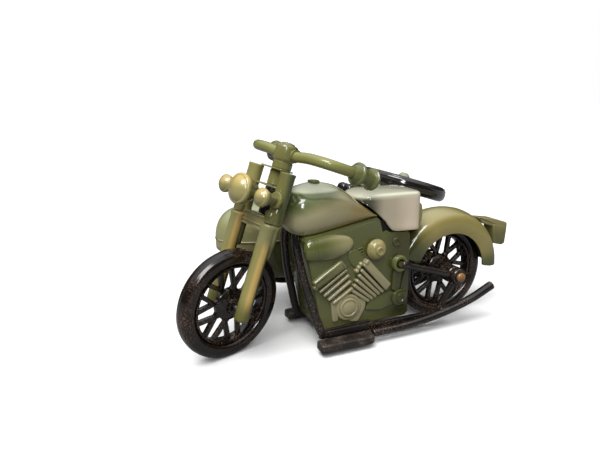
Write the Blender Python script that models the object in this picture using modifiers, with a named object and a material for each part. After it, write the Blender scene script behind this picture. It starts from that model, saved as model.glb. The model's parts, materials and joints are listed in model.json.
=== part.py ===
"""Clockwork toy motorcycle with a sidecar, as an assembly of separate pieces.

+X points to the rear of the machine, +Y to the rider's right and +Z up.
The origin is on the floor, under the middle of the whole toy.
Lengths below are in millimetres; MM turns them into Blender's metres.
"""
import bpy
import bmesh
from math import sin, cos, tan, pi, radians, sqrt, atan2, hypot
from mathutils import Vector, Matrix

for old in list(bpy.data.objects):
    bpy.data.objects.remove(old, do_unlink=True)

MM = 0.001
GAP = 0.3                      # clearance between pieces that touch

# ---------------------------------------------------------------- driving sizes
ORIGIN_X = 79.1                # floor point under the middle of the toy, from the front axle
ORIGIN_Y = 28.0

WHEELBASE = 136.3
WHEEL_R = 30.0
TYRE_W = 9.6                   # width of the tyre's section
TYRE_H = 8.0                   # its height, from bead to tread
RIM_W = 7.0
RIM_T = 1.4                    # rim ring, thickness outward of the spokes
SPOKE_T = 3.0                  # thickness of the spoked disc
HUB_R = 5.6
HUB_W = 12.0
AXLE_R = 1.5
RUN = 0.25                     # running clearance on a radius

RAKE = radians(18.6)           # lean of the steering axis
STEER = radians(20.0)          # how far the fork is turned to the left at rest
FORK_OFFSET = 8.2              # front axle ahead of the steering axis
LEG_X = -8.6                  # fork leg's centre, in the fork's own frame
LEG_Y = 12.6
LEG_R = 3.9
LEG_TOP = 47.0
TUBE_X = -6.0
TUBE_R = 4.0
STRIP_Z = 29.3                 # foot of the thin rear tube beside each leg
FORK_TOP = 73.4
CLAMP_T = 0.8
CLAMP_LOW = 65.2                # top face of the lower clamp plate
BRIDGE_Z = 42.5
BRIDGE_H = 7.0
STEM_R = 1.9
HEADSTOCK_R = 5.2
COLUMN_R = 5.2
BONE_R = 2.6
STEM_HEAD_Z = 78.4
STEM_HEAD_H = 9.4
BAR_R = 2.7
BAR_Z = 82.6
BAR_HALF = 28.0
BAR_BACK = 30.0                # from the elbow to the end of the grip
GRIP_R = 4.9
GRIP_L = 15.0

CASE_Y = 15.0                  # half width of the engine casing
CASE_WALL = 1.5
CASE_FRONT = 38.5
CASE_FOOT = 48.6
CASE_REAR = 104.0
CASE_Z = 10.2
CASE_FRONT_TOP = 62.2
CASE_REAR_TOP = 60.0
CASE_PEAK_X = 82.0
HUMP_Y = 12.6                  # half width of the narrow part that rises into the saddle
HUMP_REAR = 99.0
CASE_PEAK_Z = 69.6
RELIEF = 2.6                   # how far the cast engine stands out of the casing
STAY_X = 95.7
STAY_Z = 43.1
STAY_PIN_R = 1.8
STAY_EYE_R = 4.9
STAY_EYE_W = 3.4
STAY_R = 1.9

TANK_Y = 17.0
TANK_WALL = 1.4
SADDLE_Y = 14.6
SADDLE_WALL = 1.2

TUBE_FRAME_R = 2.2
RAIL_W = 2.9
BOARD_IN = 18.9
BOARD_OUT = 26.6
BOARD_FRONT = 42.8
BOARD_REAR = 76.5
BOARD_TOP = 7.5
BOARD_T = 4.5
PIPE_R = 2.3
PIPE_Y = 21.6

FENDER_R = 37.6
FENDER_IN = 25.0
FENDER_Y = 10.8
FENDER_T = 1.3
FENDER_FROM = radians(1.0)
FENDER_TO = radians(158.0)

HOUSING_R = 5.2
HOUSING_IN = 13.6
HOUSING_OUT = 20.6
CAP_R = 3.0

GEAR_MODULE = 1.0
GREAT_TEETH = 24
SECOND_TEETH = 22
PINION_TEETH = 10
TOOTH_BACKLASH = 0.30
WINDER_X = 80.0
WINDER_Z = 53.4
SECOND_X = 68.0
OUTPUT_X = 80.0
PLATE_T = 1.0
PLATE_LEFT_Y = -10.0
PLATE_RIGHT_Y = 6.4
GEAR_T = 2.0
GREAT_Y = -2.4
SECOND_Y = 2.2
PULLEY_Y = 10.6
PULLEY_R = 4.4
REAR_PULLEY_R = 7.4
BELT_T = 1.2
BELT_W = 2.0
KNOB_R = 5.8

CAR_Y = 46.0                   # centre line of the sidecar
CAR_HALF = 20.0
CAR_NOSE = 7.0
CAR_TAIL = 153.0
CAR_BELT = 51.5                # joint line between tub and cowl
CAR_BOTTOM = 22.0
CAR_WALL = 1.4
SEAT_GAP = 8.0                 # from the seat's side to the tub's widest line
CAR_WHEEL_X = 118.0
CAR_WHEEL_Y = 76.5
CAR_FENDER_R = 34.5
CAR_FENDER_Y = 6.6
SPARE_R = 30.0
SPARE_X = 138.4
SPARE_Z = 75.7
SPARE_TILT = radians(17.5)
SPARE_POST = 6.4                # length of the post under it

PI2 = 2.0 * pi

# ---------------------------------------------------------------- scene and materials
parts = bpy.data.collections.new("toy_motorcycle")
guides = bpy.data.collections.new("cutters")
bpy.context.scene.collection.children.link(parts)
bpy.context.scene.collection.children.link(guides)


def make_material(name, colour, rough, metal):
    """A plain Principled material with the part's colour, roughness and metallic value."""
    mat = bpy.data.materials.new(name)
    mat.use_nodes = True
    shader = mat.node_tree.nodes["Principled BSDF"]
    shader.inputs["Base Color"].default_value = (*colour, 1.0)
    shader.inputs["Roughness"].default_value = rough
    shader.inputs["Metallic"].default_value = metal
    mat.diffuse_color = (*colour, 1.0)
    return mat


OLIVE = make_material("olive_paint", (0.19, 0.22, 0.06), 0.22, 0.0)
SAGE = make_material("sage_paint", (0.40, 0.45, 0.31), 0.20, 0.0)
TAN = make_material("tan_paint", (0.62, 0.50, 0.25), 0.22, 0.0)
SILVER = make_material("saddle_paint", (0.56, 0.56, 0.45), 0.18, 0.1)
BLACK = make_material("black_frame", (0.02, 0.015, 0.013), 0.25, 0.0)
RUBBER = make_material("tyre_rubber", (0.025, 0.02, 0.018), 0.45, 0.0)
COPPER = make_material("copper", (0.62, 0.30, 0.10), 0.30, 1.0)
STEEL = make_material("steel", (0.55, 0.55, 0.55), 0.30, 1.0)
BRASS = make_material("brass", (0.65, 0.48, 0.20), 0.30, 1.0)


def frame_empty(name, matrix, parent=None):
    """An empty that carries a group of pieces."""
    empty = bpy.data.objects.new(name, None)
    parts.objects.link(empty)
    empty.parent = parent
    empty.matrix_local = matrix
    return empty


BIKE = frame_empty("bike_frame", Matrix.Translation((-ORIGIN_X * MM, -ORIGIN_Y * MM, 0.0)))

# The fork's own frame: its Z is the steering axis, its origin lies beside the front axle.
lean_z = sin(RAKE) * sin(STEER)
tread_r = TYRE_H / 2.0
front_axle_z = (WHEEL_R - tread_r) * sqrt(1.0 - lean_z ** 2) + tread_r
fork_turn = Matrix.Rotation(RAKE, 4, "Y") @ Matrix.Rotation(STEER, 4, "Z")
axle_shift = fork_turn @ Vector((-FORK_OFFSET, 0.0, 0.0))
fork_origin = Vector((FORK_OFFSET * cos(RAKE), 0.0, front_axle_z - axle_shift.z)) * MM
FORK = frame_empty("fork_frame", Matrix.Translation(fork_origin) @ fork_turn, BIKE)


# ---------------------------------------------------------------- modelling helpers
def put(obj, name, material, parent=None, guide=False):
    """Name an object, give it its material and parent, and shade its round faces smooth."""
    obj.name = name
    obj.parent = parent or BIKE
    obj.data.materials.clear()
    obj.data.materials.append(material)
    (guides if guide else parts).objects.link(obj)
    if guide:
        obj.hide_render = True
        obj.display_type = "WIRE"
    elif obj.type == "MESH":
        obj.data.shade_smooth()
        obj.data.set_sharp_from_angle(angle=radians(35))
    return obj


def mesh_piece(name, bm, material, parent=None, guide=False, place=None):
    """Turn a bmesh, built in millimetres, into a piece in metres."""
    if place is not None:
        bm.transform(place)
    bm.transform(Matrix.Scale(MM, 4))
    mesh = bpy.data.meshes.new(name)
    bm.to_mesh(mesh)
    bm.free()
    return put(bpy.data.objects.new(name, mesh), name, material, parent, guide)


def block(name, low, high, material, parent=None, guide=False, bevel=0.0, place=None):
    """A box between two corners, with bevelled edges."""
    bm = bmesh.new()
    size = [b - a for a, b in zip(low, high)]
    middle = [(a + b) / 2.0 for a, b in zip(low, high)]
    bmesh.ops.create_cube(bm, size=1.0)
    bm.transform(Matrix.Translation(middle) @ Matrix.Diagonal((*size, 1.0)))
    piece = mesh_piece(name, bm, material, parent, guide, place)
    if bevel:
        add_bevel(piece, bevel)
    return piece


def add_bevel(piece, width, segments=1):
    """Break a piece's sharp edges."""
    mod = piece.modifiers.new("edge", "BEVEL")
    mod.width = width * MM
    mod.segments = segments
    mod.limit_method = "ANGLE"
    mod.angle_limit = radians(40)
    return mod


def between(start, end):
    """The placement that carries +Z from the origin onto the line from start to end."""
    start = Vector(start)
    line = Vector(end) - start
    return Matrix.Translation(start) @ line.to_track_quat("Z", "Y").to_matrix().to_4x4()


def rod(name, start, end, radius, material, parent=None, guide=False, sides=16, radius_end=None):
    """A straight round bar, or a cone when the two radii differ."""
    length = (Vector(end) - Vector(start)).length
    bm = bmesh.new()
    bmesh.ops.create_cone(bm, cap_ends=True, segments=sides, radius1=radius,
                          radius2=radius if radius_end is None else radius_end, depth=length)
    bm.transform(Matrix.Translation((0.0, 0.0, length / 2.0)))
    return mesh_piece(name, bm, material, parent, guide, between(start, end))


def smooth_path(points, per_span=4):
    """Points along a Catmull-Rom curve through the given ones."""
    pts = [Vector(p) for p in points]
    ends = [2 * pts[0] - pts[1]] + pts + [2 * pts[-1] - pts[-2]]
    path = []
    for i in range(1, len(ends) - 2):
        a, b, c, d = ends[i - 1:i + 3]
        for step in range(per_span):
            t = step / per_span
            path.append(0.5 * (2 * b + (c - a) * t + (2 * a - 5 * b + 4 * c - d) * t ** 2
                               + (3 * b - a - 3 * c + d) * t ** 3))
    return path + [pts[-1]]


def tube(name, points, radius, material, parent=None, guide=False, per_span=4, resolution=3):
    """A bent round tube: a curve with a bevel, its ends capped."""
    path = smooth_path(points, per_span)
    curve = bpy.data.curves.new(name, "CURVE")
    curve.dimensions = "3D"
    curve.bevel_depth = radius * MM
    curve.bevel_resolution = resolution
    curve.use_fill_caps = True
    spline = curve.splines.new("POLY")
    spline.points.add(len(path) - 1)
    for point, place in zip(spline.points, path):
        point.co = (*(place * MM), 1.0)
    return put(bpy.data.objects.new(name, curve), name, material, parent, guide)


def as_mesh(piece):
    """Replace a curve piece by its own closed mesh, so that it can be cut and joined."""
    bpy.context.view_layer.update()
    name, parent, material = piece.name, piece.parent, piece.data.materials[0]
    matrix = piece.matrix_local.copy()
    guide = piece.name in guides.objects
    graph = bpy.context.evaluated_depsgraph_get()
    mesh = bpy.data.meshes.new_from_object(piece.evaluated_get(graph))
    bpy.data.objects.remove(piece, do_unlink=True)
    bm = bmesh.new()
    bm.from_mesh(mesh)
    bmesh.ops.remove_doubles(bm, verts=bm.verts, dist=0.00001)
    bm.to_mesh(mesh)
    bm.free()
    solid = put(bpy.data.objects.new(name, mesh), name, material, parent, guide)
    solid.matrix_local = matrix
    return solid


def outline(name, loops, low, high, material, parent=None, guide=False, place=None):
    """A flat shape in X and Z, with any holes, as thick as from low to high along Y."""
    curve = bpy.data.curves.new(name, "CURVE")
    curve.dimensions = "2D"
    curve.fill_mode = "BOTH"
    curve.extrude = (high - low) / 2.0 * MM
    for loop in loops:
        spline = curve.splines.new("POLY")
        spline.points.add(len(loop) - 1)
        spline.use_cyclic_u = True
        for point, (x, z) in zip(spline.points, loop):
            point.co = (x * MM, z * MM, 0.0, 1.0)
    piece = as_mesh(put(bpy.data.objects.new(name, curve), name, material, parent, guide))
    stand = Matrix.Translation((0.0, (low + high) / 2.0 * MM, 0.0)) @ Matrix.Rotation(pi / 2, 4, "X")
    piece.data.transform(stand if place is None else place @ stand)
    return piece


def turned(name, profile, material, parent=None, guide=False, steps=24, place=None,
           angle=PI2, closed=False):
    """A shape turned about its Z axis; the profile is (radius, height), outer side downwards."""
    bm = bmesh.new()
    verts = [bm.verts.new((r, 0.0, z)) for r, z in profile]
    for a, b in zip(verts, verts[1:]):
        bm.edges.new((a, b))
    if closed:
        bm.edges.new((verts[-1], verts[0]))
    piece = mesh_piece(name, bm, material, parent, guide)
    mod = piece.modifiers.new("turn", "SCREW")
    mod.angle = angle
    mod.steps = mod.render_steps = steps
    mod.use_merge_vertices = angle == PI2
    mod.merge_threshold = 0.000001
    mod.use_smooth_shade = True
    if place is not None:
        piece.matrix_local = Matrix.Translation(place.translation * MM) @ place.to_3x3().to_4x4()
    return piece


def along_y(x, y, z):
    """The placement that lays a turned piece's axis along Y, its top towards -Y."""
    return Matrix.Translation((x, y, z)) @ Matrix.Rotation(pi / 2, 4, "X")


def loft(name, rings, material, parent=None, guide=False, closed_ring=True, capped=True):
    """A skin over rings of equally many points, with its two ends closed or open."""
    bm = bmesh.new()
    rows = [[bm.verts.new(p) for p in ring] for ring in rings]
    count = len(rows[0])
    for low, high in zip(rows, rows[1:]):
        for i in range(count if closed_ring else count - 1):
            j = (i + 1) % count
            bm.faces.new((low[i], low[j], high[j], high[i]))
    if capped:
        bm.faces.new(list(reversed(rows[0])))
        bm.faces.new(rows[-1])
    bmesh.ops.remove_doubles(bm, verts=bm.verts, dist=0.001)
    bmesh.ops.recalc_face_normals(bm, faces=bm.faces)
    return mesh_piece(name, bm, material, parent, guide)


def thicken(piece, wall, offset=-1.0):
    """Give an open surface its wall; offset -1 grows it inward."""
    mod = piece.modifiers.new("wall", "SOLIDIFY")
    mod.thickness = wall * MM
    mod.offset = offset
    mod.use_even_offset = True
    return piece


def combine(piece, others, operation="UNION", solver="EXACT"):
    """Join pieces to a piece, or cut them out of it."""
    for other in others:
        mod = piece.modifiers.new("with_" + other.name, "BOOLEAN")
        mod.operation = operation
        mod.solver = solver
        mod.object = other
    return piece


def circle(x, z, radius, count, start=0.0):
    """Points round a circle in the X-Z plane."""
    return [(x + radius * cos(start + PI2 * i / count), z + radius * sin(start + PI2 * i / count))
            for i in range(count)]


SIDES = (("left", -1.0), ("right", 1.0))


# ---------------------------------------------------------------- wheels
RIM_IN = WHEEL_R - TYRE_H
SPOKES = 8


def spoke_openings(centre_r):
    """The sixteen openings of a spoked disc: a long slot between pairs, a triangle inside each."""
    loops = []
    for k in range(SPOKES):
        mid = PI2 * k / SPOKES
        slot = []
        for r, half in ((centre_r, 0.16), (centre_r * 0.50, 0.17), (centre_r * 0.41, 0.10)):
            slot.append((r * cos(mid + half), r * sin(mid + half)))
        for r, half in ((centre_r * 0.41, 0.10), (centre_r * 0.50, 0.17), (centre_r, 0.16)):
            slot.append((r * cos(mid - half), r * sin(mid - half)))
        loops.append(slot)
        mid += pi / SPOKES
        loops.append([(centre_r * cos(mid - 0.12), centre_r * sin(mid - 0.12)),
                      (centre_r * cos(mid + 0.12), centre_r * sin(mid + 0.12)),
                      (centre_r * 0.64 * cos(mid), centre_r * 0.64 * sin(mid))])
    return loops


def spoked_wheel(name, rim_r, hub_w, parent, x, y, z, bore):
    """A rim, a disc of eight forked spokes and a hub, joined into one casting."""
    inner = rim_r - RIM_T
    loops = [circle(0, 0, inner + 0.5, 24)] + spoke_openings(inner - 0.4)
    loops.append(circle(0, 0, bore, 12))
    wheel = outline(name, loops, -SPOKE_T / 2, SPOKE_T / 2, BLACK, parent)
    half = RIM_W / 2
    rim = turned(name + "_rim", [(rim_r, half), (rim_r, -half), (inner, -half * 0.8),
                                 (inner, half * 0.8)],
                 BLACK, parent, guide=True, steps=24, closed=True,
                 place=Matrix.Rotation(pi / 2, 4, "X"))
    half = hub_w / 2
    hub = turned(name + "_hub", [(HUB_R * 0.62, half), (HUB_R, half * 0.45), (HUB_R, -half * 0.45),
                                 (HUB_R * 0.62, -half), (bore, -half), (bore, half)],
                 BLACK, parent, guide=True, steps=12, closed=True,
                 place=Matrix.Rotation(pi / 2, 4, "X"))
    combine(wheel, [rim, hub])
    for item in (wheel, rim, hub):
        item.location = (x * MM, y * MM, z * MM)
    return wheel


def tyre_ring(name, outer, width, height, parent, x, y, z, tilt=None, steps=28):
    """A tyre: a rounded section turned about the axle."""
    bead = outer - height
    half = width / 2
    profile = [(outer, 0.30 * half), (outer, -0.30 * half), (outer - 0.25 * height, -0.86 * half),
               (outer - 0.62 * height, -half), (bead, -0.66 * half), (bead, 0.66 * half),
               (outer - 0.62 * height, half), (outer - 0.25 * height, 0.86 * half)]
    place = Matrix.Translation((x, y, z)) @ (tilt or Matrix.Rotation(pi / 2, 4, "X"))
    return turned(name, profile, RUBBER, parent, steps=steps, closed=True, place=place)


def front_wheel_pieces():
    spoked_wheel("front_wheel", RIM_IN, HUB_W, FORK, -FORK_OFFSET, 0, 0, AXLE_R + RUN)
    tyre_ring("front_tyre", WHEEL_R, TYRE_W, TYRE_H - GAP, FORK, -FORK_OFFSET, 0, 0)


def rear_wheel_pieces():
    spoked_wheel("rear_wheel", RIM_IN, HUB_W, BIKE, WHEELBASE, 0, WHEEL_R, AXLE_R + GAP)
    tyre_ring("rear_tyre", WHEEL_R, TYRE_W, TYRE_H - GAP, BIKE, WHEELBASE, 0, WHEEL_R)
    axle = rod("rear_axle", (WHEELBASE, -HOUSING_OUT - 1.0, WHEEL_R),
               (WHEELBASE, HOUSING_OUT + 1.0, WHEEL_R), AXLE_R, COPPER)
    ends = [rod("axle_end_" + side, (WHEELBASE, sign * (HOUSING_OUT + GAP), WHEEL_R),
                (WHEELBASE, sign * (HOUSING_OUT + 1.9), WHEEL_R), CAP_R, COPPER, guide=True, radius_end=2.1)
            for side, sign in SIDES]
    combine(axle, ends)


def rear_pulley_piece():
    """The belt pulley beside the rear hub."""
    loops = [circle(WHEELBASE, WHEEL_R, REAR_PULLEY_R, 24),
             circle(WHEELBASE, WHEEL_R, AXLE_R + GAP, 16)]
    outline("rear_pulley", loops, PULLEY_Y - BELT_W / 2 - 0.2, PULLEY_Y + BELT_W / 2 + 0.2, BRASS)


def sidecar_wheel_pieces():
    spoked_wheel("sidecar_wheel", RIM_IN, HUB_W * 0.8, BIKE, CAR_WHEEL_X, CAR_WHEEL_Y, WHEEL_R,
                 AXLE_R + RUN)
    tyre_ring("sidecar_tyre", WHEEL_R, TYRE_W, TYRE_H - GAP, BIKE, CAR_WHEEL_X, CAR_WHEEL_Y, WHEEL_R)


# ---------------------------------------------------------------- fork and steering
def fork_pieces():
    for side, sign in SIDES:
        y = sign * LEG_Y
        leg = rod("fork_leg_" + side, (LEG_X, y, -4.4), (LEG_X, y, LEG_TOP), LEG_R, TAN, FORK)
        strip = rod("leg_strip_" + side, (TUBE_X, y, STRIP_Z), (TUBE_X, y, LEG_TOP), TUBE_R - 0.3, TAN,
                    FORK, guide=True)
        bore = rod("axle_bore_" + side, (-FORK_OFFSET, y - 9, 0), (-FORK_OFFSET, y + 9, 0),
                   AXLE_R + GAP, TAN, FORK, guide=True, sides=12)
        combine(leg, [strip])
        combine(leg, [bore], "DIFFERENCE")
        tube_foot = (TUBE_X, y, LEG_TOP + GAP)
        tube_piece = rod("fork_tube_" + side, tube_foot, (TUBE_X, y, FORK_TOP), TUBE_R, OLIVE, FORK)
        cuts = [block(f"plate_slot_{side}_{k}", (TUBE_X - 1.8, min(y, y - sign * 9), z - CLAMP_T - GAP),
                      (TUBE_X + 9, max(y, y - sign * 9), z + GAP), OLIVE, FORK, guide=True)
                for k, z in enumerate((CLAMP_LOW,))]
        combine(tube_piece, cuts, "DIFFERENCE")
    axle = rod("front_axle", (-FORK_OFFSET, -LEG_Y - 4.6, 0), (-FORK_OFFSET, LEG_Y + 4.6, 0),
               AXLE_R, COPPER, FORK, sides=16)
    heads = [rod("axle_head_" + side, (-FORK_OFFSET, sign * (LEG_Y + LEG_R + GAP), 0),
                 (-FORK_OFFSET, sign * (LEG_Y + LEG_R + 1.7), 0), 3.0, COPPER, FORK, guide=True)
             for side, sign in SIDES]
    combine(axle, heads)


def clamp_outline(reach):
    """Outline of a clamp plate: a blunt triangle from the stem to both fork tubes."""
    front = TUBE_X - 1.5
    back = TUBE_X + 2.0
    rear = STEM_R + 3.0
    return [(front, -reach), (front, reach), (back, reach), (rear, 5.6), (rear + 1.6, 2.4),
            (rear + 1.6, -2.4), (rear, -5.6), (back, -reach)]


def clamp_pieces():
    lie = Matrix.Rotation(-pi / 2, 4, "X")
    plates = (("lower_clamp_plate", CLAMP_LOW, LEG_Y - GAP),
              ("upper_clamp_plate", FORK_TOP + GAP + CLAMP_T, LEG_Y + 3.0))
    for name, top, reach in plates:
        stem_hole = circle(0, 0, STEM_R + GAP, 12)
        plate = outline(name, [clamp_outline(reach), stem_hole], -CLAMP_T, 0.0, OLIVE, FORK, place=lie)
        plate.location = (0, 0, (top - CLAMP_T) * MM)


def bridge_piece():
    """The block that ties the two legs together under the headstock."""
    inner = LEG_Y - max(LEG_R, TUBE_R) - GAP
    front, waist, back = LEG_X - 0.6, TUBE_X + 1.5, STEM_R + 2.2
    loop = [(front, -inner), (front, inner), (waist, inner), (back, 3.4), (back, -3.4), (waist, -inner)]
    bridge = outline("fork_bridge", [loop], -BRIDGE_Z - BRIDGE_H, -BRIDGE_Z, TAN, FORK,
                     place=Matrix.Rotation(-pi / 2, 4, "X"))
    bore = rod("bridge_bore", (0, 0, BRIDGE_Z - 1), (0, 0, BRIDGE_Z + BRIDGE_H + 1), STEM_R + GAP,
               TAN, FORK, guide=True)
    combine(bridge, [bore], "DIFFERENCE")


def stem_piece():
    """The steering stem with the block on top that holds the handlebar."""
    stem = rod("steering_stem", (0, 0, BRIDGE_Z + 0.5), (0, 0, STEM_HEAD_Z + 1), STEM_R, OLIVE, FORK)
    head = turned("stem_head", [(0, STEM_HEAD_H), (4.2, STEM_HEAD_H), (5.8, STEM_HEAD_H - 1.8),
                                (5.8, 1.4), (4.8, 0.0), (0, 0)],
                  OLIVE, FORK, guide=True, steps=16, place=Matrix.Translation((0, 0, STEM_HEAD_Z)))
    bore = rod("bar_bore", (1.2, -9, BAR_Z), (1.2, 9, BAR_Z), BAR_R + GAP, OLIVE, FORK, guide=True, sides=12)
    column_foot = (0, 0, FORK_TOP + 2 * GAP + CLAMP_T)
    column = rod("stem_column", column_foot, (0, 0, STEM_HEAD_Z + 1), COLUMN_R * 0.8, OLIVE, FORK, guide=True)
    spacer = rod("stem_spacer", (0, 0, CLAMP_LOW + GAP), (0, 0, FORK_TOP), COLUMN_R, OLIVE, FORK, guide=True)
    combine(stem, [head, column, spacer])
    combine(stem, [bore], "DIFFERENCE")


def bar_path(sign):
    """Half of the handlebar: out to the elbow, then back to the end of the grip."""
    elbow = BAR_HALF * sign
    return [(1.2, 7.0 * sign, BAR_Z), (1.2, elbow * 0.55, BAR_Z + 0.8), (2.0, elbow * 0.85, BAR_Z + 0.9),
            (6.0, elbow * 1.06, BAR_Z + 0.8), (2.0 + BAR_BACK * 0.62, elbow * 1.15, BAR_Z + 0.6),
            (2.0 + BAR_BACK, elbow * 1.20, BAR_Z + 0.2)]


def bar_pieces():
    path = list(reversed(bar_path(-1))) + bar_path(1)
    tube("handlebar", path, BAR_R, OLIVE, FORK, per_span=2, resolution=2)
    for side, sign in SIDES:
        end = Vector(bar_path(sign)[-1])
        start = Vector(bar_path(sign)[-2])
        line = (end - start).normalized()
        base = end - line * (GRIP_L - 3.0)
        place = between(base, end)
        inner = BAR_R + GAP
        turned("grip_" + side, [(inner, GRIP_L), (GRIP_R * 0.8, GRIP_L), (GRIP_R, GRIP_L - 1.0),
                                (GRIP_R, GRIP_L - 2.4), (GRIP_R * 0.76, GRIP_L - 3.4),
                                (GRIP_R * 0.76, 3.4), (GRIP_R, 2.4), (GRIP_R, 0.9),
                                (GRIP_R * 0.8, 0.0), (inner, 0.0)],
               OLIVE, FORK, steps=14, closed=True, place=place)


LAMP_Z = 59.8
LAMP_BAR_T = 1.2
SPOT_Y = 14.8


def lamp_pieces():
    """Headlamp, two spot lamps and the bar that carries them."""
    forward = Matrix.Rotation(-pi / 2, 4, "Y")
    back = TUBE_X - TUBE_R - GAP - LAMP_BAR_T - GAP
    turned("headlamp", [(0, 15.2), (4.5, 14.4), (7.3, 12.4), (7.9, 10.8), (7.5, 9.0), (4.0, 2.0),
                        (3.0, 0.0), (0, 0.0)],
           TAN, FORK, steps=24, place=Matrix.Translation((back, 0, LAMP_Z)) @ forward)
    for side, sign in SIDES:
        turned("spot_lamp_" + side, [(0, 12.0), (2.6, 11.5), (4.3, 9.9), (4.7, 8.7), (4.4, 7.2), (2.2, 1.0),
                                     (2.0, 0.0), (0, 0.0)],
               OLIVE, FORK, steps=20,
               place=Matrix.Translation((back, sign * SPOT_Y, LAMP_Z - 0.6)) @ forward)
    lamp_bracket()


def lamp_bracket():
    """The flat bar behind the lamps, fixed across the front fork tubes."""
    front = TUBE_X - TUBE_R - GAP
    block("lamp_bar", (front - LAMP_BAR_T, -SPOT_Y - 3.0, LAMP_Z - 3.2),
          (front, SPOT_Y + 3.0, LAMP_Z + 2.2), OLIVE, FORK)


# ---------------------------------------------------------------- engine casing
def casing_outline(inset=0.0):
    """Side view of the casing, shrunk by an inset."""
    i = inset
    return [(CASE_FOOT + i, CASE_Z + i), (CASE_FRONT + i, CASE_FRONT_TOP - i * 1.2),
            (CASE_PEAK_X - i, CASE_PEAK_Z - i * 1.2), (CASE_PEAK_X + 4.0 - i, CASE_REAR_TOP + 0.6 - i),
            (CASE_REAR - 2.0 - i, CASE_REAR_TOP - i), (CASE_REAR - i, CASE_Z + i)]


def hump_outline(inset=0.0):
    """Side view of the narrow part of the casing that stands inside the saddle."""
    i = inset
    return [(CASE_PEAK_X - 14.0, CASE_REAR_TOP - 6.0), (CASE_PEAK_X - 14.0, CASE_FRONT_TOP + 3.4 - i * 1.2),
            (CASE_PEAK_X, CASE_PEAK_Z - 0.4 - i * 1.2), (HUMP_REAR - 5.0 - i, CASE_PEAK_Z - 0.4 - i * 1.2),
            (HUMP_REAR - i, CASE_REAR_TOP - 1.0), (HUMP_REAR - i, CASE_REAR_TOP - 6.0)]


def bar_relief(name, middle, length, thick, angle, depth, side):
    """A straight raised bar on the casing's face."""
    place = (Matrix.Translation((middle[0], 0, middle[1])) @ Matrix.Rotation(-angle, 4, "Y"))
    low, high = sorted((side * (CASE_Y - 0.6), side * (CASE_Y + depth)))
    return block(name, (-length / 2, low, -thick / 2), (length / 2, high, thick / 2), OLIVE,
                 guide=True, place=place)


def round_relief(name, x, z, radius, depth, side, sides=20, top=0.85):
    """A raised boss on the casing's face, slightly tapered."""
    return rod(name, (x, side * (CASE_Y - 0.6), z), (x, side * (CASE_Y + depth), z), radius, OLIVE,
               guide=True, sides=sides, radius_end=radius * top)


CRANK = (63.6, 22.4)


def engine_relief(label, side):
    """The engine cast on the casing: two finned cylinders, air cleaner, covers and bosses."""
    shapes = []
    for tag, lean, reach, count, size in (("front", radians(119), 24.0, 4, 19.0),
                                          ("rear", radians(44), 24.0, 4, 18.0)):
        along = Vector((cos(lean), sin(lean)))
        across = lean - pi / 2
        head = Vector(CRANK) + along * reach
        shapes.append(bar_relief(f"{tag}_head_{label}", head, size + 2.5, 5.0, across, RELIEF, side))
        for k in range(count):
            fin = Vector(CRANK) + along * (reach - 5.0 - 3.1 * k)
            shapes.append(bar_relief(f"{tag}_fin{k}_{label}", fin, size - 1.2 * k, 1.7, across,
                                     RELIEF * 0.7, side))
    shapes.append(round_relief("timing_cover_" + label, *CRANK, 7.4, RELIEF * 0.9, side))
    pin_length = STAY_EYE_W + GAP + 0.6
    shapes.append(round_relief("stay_pin_" + label, STAY_X, STAY_Z, STAY_PIN_R, pin_length, side, 12, top=1.0))
    shapes.append(round_relief("case_boss_" + label, 97.0, 22.4, 4.8, RELIEF * 0.9, side, 16))
    shapes.append(bar_relief("chain_case_" + label, (82.0, 17.4), 26.0, 5.4, radians(14), RELIEF * 0.5, side))
    cleaner = bmesh.new()
    bmesh.ops.create_uvsphere(cleaner, u_segments=12, v_segments=6, radius=1.0)
    cleaner.transform(Matrix.Translation((51.4, side * CASE_Y, 56.6))
                      @ Matrix.Diagonal((14.6, 3.6, 6.6, 1.0)) @ Matrix.Rotation(pi / 2, 4, "Y"))
    shapes.append(mesh_piece("air_cleaner_" + label, cleaner, OLIVE, guide=True))
    return shapes


def casing_piece(label, side):
    """One half of the engine casing: a shell open at the middle plane, with the engine cast on."""
    low, high = sorted((side * GAP / 2, side * CASE_Y))
    casing = outline("casing_" + label, [casing_outline()], low, high, OLIVE)
    low, high = sorted((-side * 2.0, side * (CASE_Y - CASE_WALL)))
    room = outline("casing_room_" + label, [casing_outline(CASE_WALL)], low, high, OLIVE, guide=True)
    low, high = sorted((side * GAP / 2, side * HUMP_Y))
    hump = outline("casing_hump_" + label, [hump_outline()], low, high, OLIVE, guide=True)
    low, high = sorted((-side * 2.0, side * (HUMP_Y - CASE_WALL)))
    hump_room = outline("hump_room_" + label, [hump_outline(CASE_WALL)], low, high, OLIVE, guide=True)
    combine(casing, [hump])
    combine(casing, [room, hump_room], "DIFFERENCE")
    combine(casing, engine_relief(label, side))
    cuts = []
    if side < 0:
        cuts.append(rod("winder_hole", (WINDER_X, -CASE_Y - 3, WINDER_Z), (WINDER_X, -CASE_Y + 5, WINDER_Z),
                        AXLE_R + 0.5, OLIVE, guide=True, sides=16))
    else:
        cuts.append(block("belt_slot", (CASE_REAR - 4, PULLEY_Y - BELT_W, WHEEL_R - 9.0),
                          (CASE_REAR + 3, PULLEY_Y + BELT_W, WHEEL_R + 9.0), OLIVE, guide=True))
    combine(casing, cuts, "DIFFERENCE")


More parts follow.
